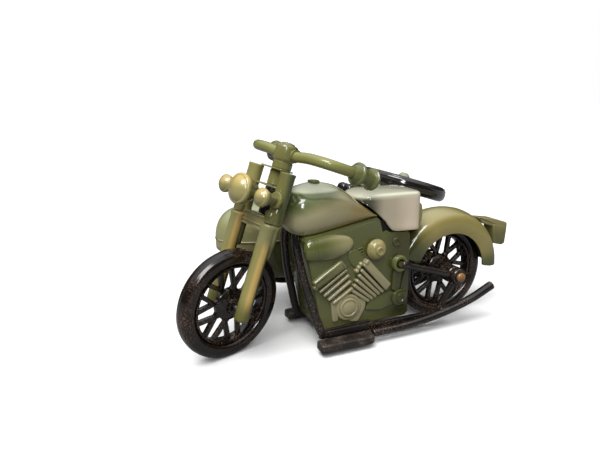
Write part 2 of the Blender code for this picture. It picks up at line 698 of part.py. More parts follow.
# ---------------------------------------------------------------- tank, saddle and fender
def tank_piece():
    """The fuel tank: a teardrop shell, open underneath."""
    stations = [(29.6, 74.0, 74.6, 1.0), (31.0, 68.4, 80.6, 8.6), (34.6, 65.2, 85.8, 13.2),
                (41.0, 63.9, 89.6, 16.2), (50.0, 65.0, 90.8, TANK_Y), (60.0, 66.7, 88.4, 16.6),
                (66.0, 67.8, 85.2, 16.0), (70.0, 68.6, 81.4, 15.4), (76.0, 69.7, 76.2, 14.8),
                (81.0, 70.7, 72.4, 14.0)]
    rings = []
    for x, low, high, half in stations:
        ring = []
        for k in range(11):
            turn = pi * (k / 10.0 * 1.22 - 0.11)
            c, s = cos(turn), sin(turn)
            reach = 0.80 if s > 0 else 1.0
            y = -half * abs(c) ** 0.85 * (1 if c > 0 else -1)
            lift = s if s < 0 else abs(s) ** reach
            waist = low + (high - low) * 0.36
            z = waist + (high - waist) * lift if s > 0 else waist + (waist - low) * s / sin(0.11 * pi)
            ring.append((x, y, z))
        rings.append(ring)
    tank = loft("fuel_tank", rings, SAGE, closed_ring=False, capped=False)
    thicken(tank, TANK_WALL)
    axis = Matrix.Translation(fork_origin / MM) @ Matrix.Rotation(RAKE, 4, "Y")
    middle = (BRIDGE_Z + BRIDGE_H + CLAMP_LOW - CLAMP_T) / 2
    neck = rod("neck_room", axis @ Vector((0, 0, middle - 25)), axis @ Vector((0, 0, middle + 25)),
               HEADSTOCK_R + 2 * GAP, SAGE, guide=True, sides=20)
    bone = rod("bone_room", axis @ Vector((STEM_R + 1.4, 0, middle - 1.0)), (64.0, 0, 73.5), BONE_R + GAP,
               SAGE, guide=True, sides=12)
    combine(tank, [neck, bone], "DIFFERENCE")


def saddle_piece():
    """The saddle: a padded top with deep skirts that step up over the tank."""
    stations = [(72.0, 80.4, 81.4, 8.4), (74.0, 79.0, 82.5, 12.4), (78.0, 75.8, 83.4, SADDLE_Y),
                (81.2, 73.0, 83.6, SADDLE_Y), (87.1, 67.8, 83.2, SADDLE_Y), (91.3, 62.3, 83.0, SADDLE_Y),
                (100.0, 61.4, 82.8, SADDLE_Y), (108.4, 60.9, 82.2, SADDLE_Y),
                (111.0, 61.2, 81.2, 13.4), (112.2, 62.2, 79.6, 11.8)]
    rings = []
    for x, low, top, half in stations:
        drop = min(2.6, (top - low) * 0.45)
        rings.append([(x, -half, low), (x, -half, top - drop), (x, -half + 1.4, top - 0.7),
                      (x, -half * 0.5, top), (x, half * 0.5, top), (x, half - 1.4, top - 0.7),
                      (x, half, top - drop), (x, half, low)])
    saddle = loft("saddle", rings, SILVER, closed_ring=False, capped=False)
    close_end(saddle, stations[-1][0])
    thicken(saddle, SADDLE_WALL)


def fender_piece(name, radius, inner, half, start, end, x, y, steps, material):
    """A mudguard: a channel section turned part of the way round its wheel."""
    profile = [(inner, half), (radius * 0.88, half), (radius * 0.975, half * 0.66), (radius, 0.0),
               (radius * 0.975, -half * 0.66), (radius * 0.88, -half), (inner, -half)]
    stand = (Matrix.Translation((x, y, WHEEL_R)) @ Matrix.Rotation(pi / 2, 4, "X")
             @ Matrix.Rotation(start, 4, "Z"))
    fender = turned(name, profile, material, steps=steps, place=stand, angle=end - start)
    thicken(fender, FENDER_T)
    return fender


def rear_fender_piece():
    """The rear mudguard, cut back where it meets the casing."""
    fender = fender_piece("rear_fender", FENDER_R, FENDER_IN, FENDER_Y, FENDER_FROM, FENDER_TO,
                          WHEELBASE, 0.0, 18, SAGE)
    trim = block("fender_trim", (CASE_REAR - 20, -FENDER_Y - 3, WHEEL_R - 5),
                 (CASE_REAR + GAP, FENDER_Y + 3, 66.0), SAGE, guide=True)
    combine(fender, [trim], "DIFFERENCE")


def tail_pieces():
    """The arm on the rear mudguard with the tail lamp's box under it."""
    x0 = WHEELBASE + FENDER_R * cos(radians(46)) - 0.2
    arm = outline("tail_lamp", [[(x0, 59.8), (x0 + 2.8, 56.2), (x0 + 12.0, 54.4), (x0 + 12.0, 52.0),
                                 (x0 + 24.0, 49.6), (x0 + 24.0, 54.2), (x0 + 12.0, 57.6)]],
                  -3.6, 3.6, SAGE)
    box = block("tail_box", (x0 + 12.6, -4.4, 40.6), (x0 + 24.2, 4.4, 53.0), OLIVE, guide=True, bevel=0.8)
    combine(arm, [box])


def cap_piece():
    """The filler cap on top of the tank."""
    turned("fuel_cap", [(0, 2.4), (2.0, 2.2), (2.8, 1.4), (2.8, 0.0), (0, 0.0)], OLIVE, steps=16,
           place=Matrix.Translation((50.0, 0.0, 90.8 + GAP)) @ Matrix.Rotation(radians(3), 4, "Y"))


# ---------------------------------------------------------------- frame
def chassis_headstock():
    """The headstock stays with the chassis, so it is placed without the fork's turn."""
    axis = Matrix.Translation(fork_origin / MM) @ Matrix.Rotation(RAKE, 4, "Y")
    low = BRIDGE_Z + BRIDGE_H + GAP
    high = CLAMP_LOW - CLAMP_T - GAP
    head = turned("headstock", [(HEADSTOCK_R, high), (HEADSTOCK_R, low), (STEM_R + RUN, low),
                                (STEM_R + RUN, high)],
                  BLACK, steps=20, closed=True, place=axis)
    start = axis @ Vector((STEM_R + 1.4, 0, (low + high) / 2 - 1.0))
    bone = rod("backbone", start, (64.0, 0, 73.5), BONE_R, BLACK, guide=True, sides=12)
    post = rod("backbone_post", (61.0, 0, 73.6), (61.0, 0, 67.2), 2.4, BLACK, guide=True, sides=12)
    combine(head, [bone, post])


def frame_pieces():
    for side, sign in SIDES:
        cradle = tube("frame_cradle_" + side, [(40.2, sign * 4.8, 71.8), (35.6, sign * 7.0, 63.0),
                      (37.4, sign * 10.6, 45.0), (42.2, sign * 13.8, 26.0), (45.4, sign * 16.6, 15.0),
                      (47.6, sign * 17.6, 8.6)], TUBE_FRAME_R, BLACK, per_span=3, resolution=2)
        cradle = as_mesh(cradle)
        low, high = sorted((sign * (CASE_Y + GAP), sign * (CASE_Y + GAP + RAIL_W)))
        rail = outline("side_rail_" + side, [[(46.2, 7.6), (46.2, 10.6), (79.0, 11.4), (80.2, 9.8),
                       (126.0, 10.4), (126.0, 7.4), (80.0, 5.6), (78.6, 7.6)]], low, high, BLACK, guide=True)
        combine(cradle, [rail])
        low, high = sorted((sign * BOARD_IN, sign * BOARD_OUT))
        block("footboard_" + side, (BOARD_FRONT, low, BOARD_TOP - BOARD_T), (BOARD_REAR, high, BOARD_TOP),
              BLACK, bevel=0.9)
        y = sign * PIPE_Y
        tube("exhaust_" + side, [(78.0, y, 6.6), (96.0, y, 6.8), (116.0, y, 8.8), (132.0, y, 12.0),
                                 (146.0, y, 16.0), (159.5, y, 21.8)],
             PIPE_R, BLACK, per_span=2, resolution=3)
        y = sign * (CASE_Y + GAP + STAY_EYE_W / 2)
        along = Vector((WHEELBASE - STAY_X, 0.0, WHEEL_R - STAY_Z))
        reach = along.length - HOUSING_R - GAP - 0.4
        along.normalize()
        start = Vector((STAY_X, y, STAY_Z))
        stay = rod("rear_stay_" + side, start, start + along * reach, STAY_R, BLACK, sides=12)
        half = STAY_EYE_W / 2
        eye = rod("stay_eye_" + side, (STAY_X, y - half, STAY_Z), (STAY_X, y + half, STAY_Z),
                  STAY_EYE_R, BLACK, guide=True, sides=20)
        hole = rod("stay_hole_" + side, (STAY_X, y - 4, STAY_Z), (STAY_X, y + 4, STAY_Z),
                   STAY_PIN_R + GAP, BLACK, guide=True, sides=12)
        combine(stay, [eye])
        combine(stay, [hole], "DIFFERENCE")


def housing_pieces():
    """The cups that carry the rear axle, each on a strut from the running rail."""
    for side, sign in SIDES:
        low, high = sorted((sign * HOUSING_IN, sign * HOUSING_OUT))
        y = sign * (HOUSING_IN + HOUSING_OUT) / 2
        cup = rod("axle_housing_" + side, (WHEELBASE, low, WHEEL_R), (WHEELBASE, high, WHEEL_R),
                  HOUSING_R, BLACK, sides=20)
        strut = rod("strut_" + side, (WHEELBASE - 2.0, y, WHEEL_R - 3.0), (126.0, y, 12.6), 2.0, BLACK,
                    guide=True, sides=12)
        bore = rod("housing_bore_" + side, (WHEELBASE, low - 2, WHEEL_R), (WHEELBASE, high + 2, WHEEL_R),
                   AXLE_R + RUN, BLACK, guide=True, sides=16)
        combine(cup, [strut])
        combine(cup, [bore], "DIFFERENCE")


# ---------------------------------------------------------------- clockwork
def gear_outline(x, z, teeth, phase=0.0):
    """Outline of a toothed wheel: four points a tooth, thinned for backlash."""
    pitch = GEAR_MODULE * teeth / 2.0
    tip = pitch + 0.85 * GEAR_MODULE
    root = pitch - 1.15 * GEAR_MODULE
    points = []
    for k in range(teeth):
        mid = phase + PI2 * k / teeth
        half = (pi * GEAR_MODULE / 4.0 - TOOTH_BACKLASH / 2.0) / pitch
        for r, share in ((root, -1.55), (tip, -0.50), (tip, 0.50), (root, 1.55)):
            turn = mid + half * share
            points.append((x + r * cos(turn), z + r * sin(turn)))
    return points


def mesh_phase(driver, driver_teeth, driver_phase, follower, follower_teeth):
    """The turn that puts a gap of the follower over a tooth of the driver, on their line of centres."""
    line = atan2(follower[1] - driver[1], follower[0] - driver[0])
    into = (line - driver_phase) * driver_teeth / PI2
    offset = into - round(into)
    back = line + pi
    return back + (0.5 + offset) * PI2 / follower_teeth


def clockwork_pieces():
    great = (WINDER_X, WINDER_Z)
    gap = GEAR_MODULE * (GREAT_TEETH + PINION_TEETH) / 2.0
    second = (SECOND_X, WINDER_Z - sqrt(gap ** 2 - (WINDER_X - SECOND_X) ** 2))
    gap = GEAR_MODULE * (SECOND_TEETH + PINION_TEETH) / 2.0
    output = (OUTPUT_X, second[1] - sqrt(gap ** 2 - (OUTPUT_X - SECOND_X) ** 2))
    shafts = (great, second, output)

    # great wheel, free on the winding arbor
    outline("great_wheel", [gear_outline(*great, GREAT_TEETH), circle(*great, AXLE_R + RUN, 16)],
            GREAT_Y - GEAR_T / 2, GREAT_Y + GEAR_T / 2, BRASS)
    rod("winding_arbor", (great[0], -CASE_Y - 1.0, great[1]), (great[0], PLATE_RIGHT_Y - 1.5, great[1]),
        AXLE_R, STEEL)
    button = [(0, 6.4), (2.0, 6.2), (2.2, 5.2), (4.6, 4.2), (KNOB_R, 2.0), (KNOB_R, 0.0), (0, 0.0)]
    turned("winding_knob", button, OLIVE, steps=24, place=along_y(great[0], -CASE_Y - 1.0 - GAP, great[1]))

    # second shaft: pinion and wheel
    phase = mesh_phase(great, GREAT_TEETH, 0.0, second, PINION_TEETH)
    wheel = outline("second_wheel", [gear_outline(*second, SECOND_TEETH)],
                    SECOND_Y - GEAR_T / 2, SECOND_Y + GEAR_T / 2, BRASS)
    pinion = outline("second_pinion", [gear_outline(*second, PINION_TEETH, phase)],
                     GREAT_Y - 1.4, SECOND_Y - GEAR_T / 2 + 0.2, BRASS, guide=True)
    shaft = rod("second_arbor", (second[0], PLATE_LEFT_Y - 1.2, second[1]),
                (second[0], PLATE_RIGHT_Y + 1.2, second[1]), 1.0, BRASS, guide=True, sides=12)
    combine(wheel, [pinion, shaft])

    # output shaft: pinion and belt pulley
    phase = mesh_phase(second, SECOND_TEETH, 0.0, output, PINION_TEETH)
    pinion = outline("output_shaft", [gear_outline(*output, PINION_TEETH, phase)],
                     SECOND_Y - 1.4, SECOND_Y + 1.4, BRASS)
    shaft = rod("output_arbor", (output[0], PLATE_LEFT_Y - 1.2, output[1]),
                (output[0], PULLEY_Y + 1.6, output[1]), 1.0, BRASS, guide=True, sides=12)
    pulley = rod("output_pulley", (output[0], PULLEY_Y - BELT_W / 2 - 0.2, output[1]),
                 (output[0], PULLEY_Y + BELT_W / 2 + 0.2, output[1]), PULLEY_R, BRASS, guide=True, sides=24)
    combine(pinion, [shaft, pulley])

    # motor frame: two plates, with pillars on the right one
    roof = 65.4 + 1.5 - CASE_WALL
    frame_loop = [(60.0, 25.0), (60.0, roof - 4.4), (76.0, roof), (93.4, roof), (94.0, 25.0)]
    pillars = ((62.0, 59.0), (91.6, 63.2), (91.4, 27.0), (62.0, 27.0))
    for name, low in (("motor_plate_left", PLATE_LEFT_Y), ("motor_plate_right", PLATE_RIGHT_Y)):
        holes = [circle(x, z, r + 0.4, 12) for (x, z), r in zip(shafts, (AXLE_R, 1.0, 1.0))]
        if name == "motor_plate_right":
            holes[0] = circle(*great, 1.0, 8)
        plate = outline(name, [frame_loop] + holes, low, low + PLATE_T, STEEL)
        if name == "motor_plate_right":
            posts = [rod(f"pillar_{k}", (x, PLATE_LEFT_Y + PLATE_T + GAP, z), (x, low + 0.5, z), 1.1, STEEL,
                         guide=True, sides=10) for k, (x, z) in enumerate(pillars)]
            combine(plate, posts)

    # mainspring: a flat strip wound round the arbor, hooked on a pillar
    turns, strip, steps = 3.5, 0.6, 14
    inner, outer = [], []
    for k in range(int(turns * steps) + 1):
        turn = PI2 * k / steps
        r = AXLE_R + 0.8 + (10.6 - AXLE_R) * k / (turns * steps)
        inner.append((great[0] + r * cos(turn), great[1] + r * sin(turn)))
        outer.append((great[0] + (r + strip) * cos(turn), great[1] + (r + strip) * sin(turn)))
    outline("mainspring", [outer + list(reversed(inner))], PLATE_LEFT_Y + PLATE_T + 0.5,
            GREAT_Y - GEAR_T / 2 - 0.5, STEEL)
    return output


def belt_piece(output):
    """The belt from the clockwork's pulley to the rear wheel's pulley."""
    loops = []
    for grow in (GAP + BELT_T, GAP):
        small, large = PULLEY_R + grow, REAR_PULLEY_R + grow
        dx, dz = WHEELBASE - output[0], WHEEL_R - output[1]
        span = hypot(dx, dz)
        line = atan2(dz, dx)
        tilt = pi / 2 + atan2(large - small, span)
        loop = []
        for k in range(9):
            turn = line + tilt + (PI2 - 2 * tilt) * k / 8
            loop.append((output[0] + small * cos(turn), output[1] + small * sin(turn)))
        for k in range(13):
            turn = line - tilt + 2 * tilt * k / 12
            loop.append((WHEELBASE + large * cos(turn), WHEEL_R + large * sin(turn)))
        loops.append(loop)
    outline("drive_belt", loops, PULLEY_Y - BELT_W / 2, PULLEY_Y + BELT_W / 2, RUBBER)


# ---------------------------------------------------------------- sidecar
def car_station(t):
    """Half width, bottom and top of the sidecar's body, t running 0 to 1 from nose to tail."""
    x = CAR_NOSE + (CAR_TAIL - CAR_NOSE) * t
    swell = (1.0 - (1.0 - min(t / 0.26, 1.0)) ** 2.2) ** 0.55
    taper = 1.0 - 0.55 * max(0.0, (t - 0.62) / 0.38) ** 1.8
    half = max(CAR_HALF * swell * taper, 0.9)
    keel = CAR_BOTTOM + 24.0 * (1.0 - min(t / 0.30, 1.0)) ** 2.0 + 16.0 * max(0.0, (t - 0.66) / 0.34) ** 1.5
    nose = (1.0 - (1.0 - min(t / 0.12, 1.0)) ** 2.4) ** 0.5
    top = CAR_BELT + 18.0 * nose + 8.4 * min(max((t - 0.10) / 0.42, 0.0), 1.0)
    top -= 14.0 * max(0.0, (t - 0.68) / 0.32) ** 1.1
    return x, half, keel, top


STATIONS = [0.0, 0.012, 0.04, 0.08, 0.14, 0.22, 0.34, 0.48, 0.62, 0.74, 0.86, 1.0]
COCKPIT_FROM = 76.0
COCKPIT_TO = 108.0


def hull_piece():
    """The sidecar's tub: the part below the joint line, open at the top."""
    rings = []
    for t in STATIONS:
        x, half, keel, _ = car_station(t)
        ring = []
        for k in range(9):
            turn = pi * k / 8
            y = half * cos(turn)
            z = CAR_BELT - (CAR_BELT - keel) * abs(sin(turn)) ** 0.72
            ring.append((x, CAR_Y + y, z - GAP))
        rings.append(ring)
    hull = loft("sidecar_tub", rings, OLIVE, closed_ring=False, capped=False)
    close_end(hull, CAR_TAIL)
    thicken(hull, CAR_WALL)


def close_end(piece, x):
    """Fill the flat end of an open shell at one station."""
    bm = bmesh.new()
    bm.from_mesh(piece.data)
    rim = [v for v in bm.verts if abs(v.co.x - x * MM) < 0.00001]
    rim.sort(key=lambda v: v.co.y)
    bm.faces.new(rim)
    bmesh.ops.recalc_face_normals(bm, faces=bm.faces)
    bm.to_mesh(piece.data)
    bm.free()


def cowl_piece():
    """The sidecar's upper body, with the cockpit cut out of it."""
    rings = []
    for t in STATIONS:
        x, half, _, top = car_station(t)
        ring = []
        for k in range(9):
            turn = pi * k / 8
            y = -half * cos(turn)
            z = CAR_BELT + (top - CAR_BELT) * abs(sin(turn)) ** 0.62
            ring.append((x, CAR_Y + y, z + GAP))
        rings.append(ring)
    cowl = loft("sidecar_cowl", rings, SAGE, closed_ring=False, capped=False)
    close_end(cowl, CAR_TAIL)
    thicken(cowl, CAR_WALL)
    half = CAR_HALF - 5.0
    length = (COCKPIT_TO - COCKPIT_FROM) / 2
    loop = [(COCKPIT_FROM + length + length * cos(a), half * sin(a))
            for a in (PI2 * k / 20 for k in range(20))]
    hole = outline("cockpit", [loop], -30.0, 0.0, SAGE, guide=True, place=Matrix.Rotation(-pi / 2, 4, "X"))
    hole.location = (0, CAR_Y * MM, 66.0 * MM)
    combine(cowl, [hole], "DIFFERENCE")


def car_seat_piece():
    """The passenger's seat inside the cockpit."""
    side = [(78.0, 38.0), (78.0, 45.0), (90.0, 46.5), (93.5, 75.0), (95.0, 78.5), (100.0, 78.5),
            (100.8, 75.0), (100.8, 38.0)]
    seat_half = CAR_HALF - SEAT_GAP
    outline("sidecar_seat", [side], CAR_Y - seat_half, CAR_Y + seat_half, BLACK)


def car_frame_piece():
    """The tube frame that ties the sidecar to the machine and carries its wheel."""
    z = CAR_BOTTOM - 3.4
    main = tube("sidecar_frame", [(44.0, CAR_Y, z + 2.0), (60.0, CAR_Y, z), (134.0, CAR_Y, z)], 2.2, BLACK,
                per_span=2, resolution=2)
    main = as_mesh(main)
    near = CASE_Y + RELIEF + GAP
    arms = [rod("front_arm", (62.0, near, z), (62.0, CAR_Y + 10, z), 2.0, BLACK, guide=True, sides=12),
            rod("rear_arm", (100.0, near, z), (100.0, CAR_Y + 10, z), 2.0, BLACK, guide=True, sides=12),
            rod("wheel_arm", (CAR_WHEEL_X, CAR_Y - 10, z), (CAR_WHEEL_X, 69.0, z), 2.0, BLACK, guide=True,
                sides=12),
            rod("wheel_post", (CAR_WHEEL_X, 68.2, z - 2.0), (CAR_WHEEL_X, 68.2, WHEEL_R + 2.6), 2.4, BLACK,
                guide=True, sides=12),
            rod("stub_axle", (CAR_WHEEL_X, 68.2, WHEEL_R),
                (CAR_WHEEL_X, CAR_WHEEL_Y + HUB_W * 0.4 + 1.2, WHEEL_R), AXLE_R, BLACK, guide=True, sides=16)]
    combine(main, arms)


def spare_pieces():
    """The spare wheel lying on the rear deck, with the knob that holds it."""
    lie = Matrix.Rotation(SPARE_TILT, 4, "Y")
    spare = tyre_ring("spare_wheel", SPARE_R, TYRE_W, TYRE_H, BIKE, SPARE_X, CAR_Y, SPARE_Z, tilt=lie)
    disc = turned("spare_disc", [(0, 1.2), (SPARE_R - 6.0, 1.2), (SPARE_R - 6.0, -1.2), (0, -1.2)], BLACK,
                  guide=True, steps=28,
                  place=Matrix.Translation((SPARE_X, CAR_Y, SPARE_Z)) @ lie)
    stem = [(0, 1.0), (3.0, 1.0), (3.0, -SPARE_POST), (0, -SPARE_POST)]
    post = turned("spare_post", stem, BLACK, guide=True, steps=16,
                  place=Matrix.Translation((SPARE_X, CAR_Y, SPARE_Z)) @ lie)
    combine(spare, [disc, post])
    turned("spare_knob", [(0, 6.4), (2.2, 6.2), (3.4, 4.4), (5.2, 2.4), (5.4, 0), (0, 0)], SAGE, steps=20,
           place=Matrix.Translation((SPARE_X, CAR_Y, SPARE_Z)) @ lie @ Matrix.Translation((0, 0, 1.2 + GAP)))


# ---------------------------------------------------------------- assembly
front_wheel_pieces()
rear_wheel_pieces()
rear_pulley_piece()
sidecar_wheel_pieces()
fork_pieces()
clamp_pieces()
bridge_piece()
stem_piece()
bar_pieces()
lamp_pieces()
for half_name, half_sign in SIDES:
    casing_piece(half_name, half_sign)
tank_piece()
saddle_piece()
rear_fender_piece()
tail_pieces()
cap_piece()
chassis_headstock()
frame_pieces()
housing_pieces()
belt_piece(clockwork_pieces())
hull_piece()
cowl_piece()
car_seat_piece()
car_frame_piece()
fender_piece("sidecar_fender", CAR_FENDER_R, 28.0 + 4.0, CAR_FENDER_Y, radians(12), radians(168),
             CAR_WHEEL_X, CAR_WHEEL_Y, 14, OLIVE)
spare_pieces()
bpy.context.view_layer.update()
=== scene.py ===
# %% [markdown]
# # A clockwork toy motorcycle with a sidecar
# The toy is cast and moulded in pieces, sprayed in olive, sage and tan, and varnished to a high
# gloss. Its wheels, frame and footboards are black with a little brown dry-brushing.
# Every visible piece here is a numpy surface laid over the working model, so that it turns and
# steers with the body it rides on. We start by loading that model and keeping its outer box.

# %% Load the working model
import json
from math import pi, radians

import bpy
import numpy as np
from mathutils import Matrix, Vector

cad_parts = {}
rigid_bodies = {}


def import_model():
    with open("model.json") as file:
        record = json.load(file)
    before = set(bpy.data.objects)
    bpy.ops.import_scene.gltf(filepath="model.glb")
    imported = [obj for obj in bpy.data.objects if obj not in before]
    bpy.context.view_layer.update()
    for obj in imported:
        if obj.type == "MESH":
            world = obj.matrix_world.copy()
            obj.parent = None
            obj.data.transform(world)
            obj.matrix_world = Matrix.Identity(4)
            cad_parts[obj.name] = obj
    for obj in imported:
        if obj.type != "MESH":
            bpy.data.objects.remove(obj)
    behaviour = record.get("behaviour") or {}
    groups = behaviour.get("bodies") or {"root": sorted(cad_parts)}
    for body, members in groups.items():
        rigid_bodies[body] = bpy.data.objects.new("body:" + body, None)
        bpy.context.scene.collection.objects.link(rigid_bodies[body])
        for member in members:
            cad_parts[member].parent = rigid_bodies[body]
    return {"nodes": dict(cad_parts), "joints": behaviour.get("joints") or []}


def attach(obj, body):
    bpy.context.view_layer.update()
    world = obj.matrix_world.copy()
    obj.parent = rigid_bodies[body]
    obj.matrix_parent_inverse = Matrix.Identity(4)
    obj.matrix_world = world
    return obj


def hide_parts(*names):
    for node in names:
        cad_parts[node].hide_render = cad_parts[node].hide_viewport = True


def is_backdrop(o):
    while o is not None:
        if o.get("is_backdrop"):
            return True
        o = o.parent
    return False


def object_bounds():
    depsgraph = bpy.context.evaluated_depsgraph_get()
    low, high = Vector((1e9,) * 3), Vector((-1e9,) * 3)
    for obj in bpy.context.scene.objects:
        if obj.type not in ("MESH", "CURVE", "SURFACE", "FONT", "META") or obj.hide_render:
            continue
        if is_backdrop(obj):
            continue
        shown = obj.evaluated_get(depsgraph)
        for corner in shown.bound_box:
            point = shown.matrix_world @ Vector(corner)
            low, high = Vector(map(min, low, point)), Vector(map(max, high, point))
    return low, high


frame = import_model()
model_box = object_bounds()


# %% [markdown]
# The sizes below are in millimetres. The machine has its own measuring frame: X runs to the rear
# from the front axle, Y to the rider's right and Z up from the floor. The fork has a second frame
# whose Z is the steering axis. Two joints of the working model give where each frame stands, so
# that no position has to be typed twice.

# %% The two measuring frames
MM = 0.001
JOINTS = {joint["name"]: joint for joint in frame["joints"]}


def frame_matrix(origin, x_axis, y_axis, z_axis):
    """4x4 matrix that carries millimetres in a local frame to metres: p = origin + MM (x X + y Y + z Z)."""
    matrix = np.eye(4)
    matrix[:3, 0] = np.array(x_axis) * MM
    matrix[:3, 1] = np.array(y_axis) * MM
    matrix[:3, 2] = np.array(z_axis) * MM
    matrix[:3, 3] = origin
    return matrix


REAR_AXLE = np.array([136.3, 0.0, 30.0])
rear_at = np.array(JOINTS["rear_wheel_spin"]["pos_m"])
MACHINE = frame_matrix(rear_at - REAR_AXLE * MM, (1, 0, 0), (0, 1, 0), (0, 0, 1))
steer_axis = np.array(JOINTS["steering"]["axis"], float)
axle_axis = np.array(JOINTS["front_wheel_spin"]["axis"], float)
FORK = frame_matrix(JOINTS["steering"]["pos_m"], np.cross(axle_axis, steer_axis), axle_axis, steer_axis)
CAR_Y = (JOINTS["sidecar_wheel_spin"]["pos_m"][1] - rear_at[1]) / MM - 30.5
CAR_WHEEL_X = (JOINTS["sidecar_wheel_spin"]["pos_m"][0] - rear_at[0]) / MM + REAR_AXLE[0]
print("machine origin", MACHINE[:3, 3].round(4), "fork origin", FORK[:3, 3].round(4))


# %% [markdown]
# Every surface is a grid of points: rows of rings. Neighbouring rows are joined by four-sided
# faces, and the first and last ring are closed by a fan or by one flat face. A shape that comes
# out inside out has a negative volume, so its faces are turned round. Whole arrays are used all
# through, because numpy then does the work of every vertex at once.

# %% From rows of rings to a closed skin
def volume(points, faces):
    """Signed volume: the sum of a . (b x c) / 6 over triangles fanned from each face's first corner."""
    total = 0.0
    for group in faces:
        first = points[group[:, :1]]
        second = points[group[:, 1:-1]]
        third = points[group[:, 2:]]
        total += (first * np.cross(second, third)).sum() / 6.0
    return total


def outward(points, faces):
    """The same skin with its faces turned round when its volume is negative."""
    if volume(points - points.mean(axis=0), faces) < 0.0:
        faces = [group[:, ::-1] for group in faces]
    return points, faces


def skin(rows, ends="fan", ring_of_rings=False):
    """Closed skin over rows[i, j]: quads (i,j), (i,j+1), (i+1,j+1), (i+1,j), wrapping in j, and two ends."""
    count, around = rows.shape[:2]
    index = np.arange(count * around).reshape(count, around)
    here = index if ring_of_rings else index[:-1]
    there = np.roll(index, -1, axis=0) if ring_of_rings else index[1:]
    quads = np.stack([here, np.roll(here, -1, 1), np.roll(there, -1, 1), there], axis=-1)
    points = rows.reshape(-1, 3)
    faces = [quads.reshape(-1, 4)]
    if ring_of_rings:
        return outward(points, faces)
    if ends == "face":
        faces += [index[:1, ::-1], index[-1:]]
        return outward(points, faces)
    middles = rows[[0, -1]].mean(axis=1)
    points = np.vstack([points, middles])
    low = np.full(around, count * around)
    faces.append(np.stack([low, np.roll(index[0], -1), index[0]], axis=1))
    faces.append(np.stack([low + 1, index[-1], np.roll(index[-1], -1)], axis=1))
    return outward(points, faces)


def moved(shape, matrix):
    """A skin carried by a 4x4 matrix: p' = R p + t; a mirror turns the faces round again."""
    points, faces = shape
    return outward(points @ matrix[:3, :3].T + matrix[:3, 3], faces)


print("a ring of rings has", len(skin(np.zeros((3, 4, 3)), ring_of_rings=True)[1]), "face group")


# %% [markdown]
# Round things are turned, bars and pipes are carried along a line, and flat castings are an
# outline with softened edges. Three small helpers do the rounding: a smooth curve through points,
# rounded corners for an outline, and a stand-off along the outline's normals.

# %% Curves and outlines
def smooth(points, per_span=6):
    """Catmull-Rom curve: 0.5 (2b + (c-a) t + (2a-5b+4c-d) t^2 + (3b-a-3c+d) t^3) through each span b to c."""
    p = np.array(points, float)
    p = np.concatenate([[2 * p[0] - p[1]], p, [2 * p[-1] - p[-2]]])
    a, b, c, d = (p[k:len(p) - 3 + k, None] for k in range(4))
    t = (np.arange(per_span) / per_span).reshape((1, -1) + (1,) * (p.ndim - 1))
    curve = 0.5 * (2 * b + (c - a) * t + (2 * a - 5 * b + 4 * c - d) * t ** 2
                   + (3 * b - a - 3 * c + d) * t ** 3)
    return np.concatenate([curve.reshape((-1,) + p.shape[1:]), p[-2:-1]])


def rounded(points, radius, steps=4):
    """Closed outline, each corner p replaced by (1-t)^2 a + 2t(1-t) p + t^2 b with a and b on its edges."""
    p = np.array(points, float)
    before = np.roll(p, 1, 0) - p
    after = np.roll(p, -1, 0) - p
    reach_b = np.minimum(radius, 0.45 * np.linalg.norm(before, axis=1))[:, None]
    reach_a = np.minimum(radius, 0.45 * np.linalg.norm(after, axis=1))[:, None]
    a = (p + before / np.linalg.norm(before, axis=1)[:, None] * reach_b)[:, None]
    b = (p + after / np.linalg.norm(after, axis=1)[:, None] * reach_a)[:, None]
    t = np.linspace(0.0, 1.0, steps + 1)[None, :, None]
    return ((1 - t) ** 2 * a + 2 * t * (1 - t) * p[:, None] + t ** 2 * b).reshape(-1, 2)


def evenly(outline, count):
    """The same closed outline with its points spaced evenly along it."""
    loop = np.vstack([outline, outline[:1]])
    s = np.concatenate([[0.0], np.cumsum(np.linalg.norm(np.diff(loop, axis=0), axis=1))])
    at = np.linspace(0.0, s[-1], count, endpoint=False)
    return np.column_stack([np.interp(at, s, loop[:, k]) for k in range(2)])


def stand_off(outline):
    """Outward direction at each corner: the two edge normals' sum over 1 + their dot product (a mitre)."""
    edge = np.roll(outline, -1, 0) - outline
    normal = np.stack([edge[:, 1], -edge[:, 0]], 1) / np.linalg.norm(edge, axis=1)[:, None]
    x, z = outline.T
    area = 0.5 * (x * np.roll(z, -1) - np.roll(x, -1) * z).sum()
    last = np.roll(normal, 1, 0)
    mitre = (normal + last) / (1.0 + (normal * last).sum(1))[:, None]
    return mitre * np.sign(area)


def circle(x, z, radius, count=32):
    """Points (x + r cos t, z + r sin t) for t evenly spaced round the circle."""
    t = np.arange(count) * 2 * pi / count
    return np.stack([x + radius * np.cos(t), z + radius * np.sin(t)], 1)


print("a rounded square has", len(rounded([(0, 0), (4, 0), (4, 4), (0, 4)], 1.0)), "corners")


# %% The three ways of making a solid
def turned(profile, sides=40, closed=False):
    """Turned solid: (r cos t, r sin t, h) for each profile point (r, h); a closed profile makes a ring."""
    profile = np.array(profile, float)
    t = np.arange(sides) * 2 * pi / sides
    r, h = profile[:, :1], profile[:, 1:]
    rows = np.stack([r * np.cos(t), r * np.sin(t), h + 0 * t], axis=-1)
    return skin(rows, ring_of_rings=closed)


def flat(outline, stops, ends="face"):
    """Casting from an outline in X and Z: at each stop (inset, y) the ring is p - inset n, at depth y."""
    outline = np.array(outline, float)
    stops = np.array(stops, float)
    ring = outline[None] - stand_off(outline)[None] * stops[:, None, :1]
    depth = np.broadcast_to(stops[:, 1:], ring.shape[:2])
    return skin(np.stack([ring[..., 0], depth, ring[..., 1]], axis=-1), ends)


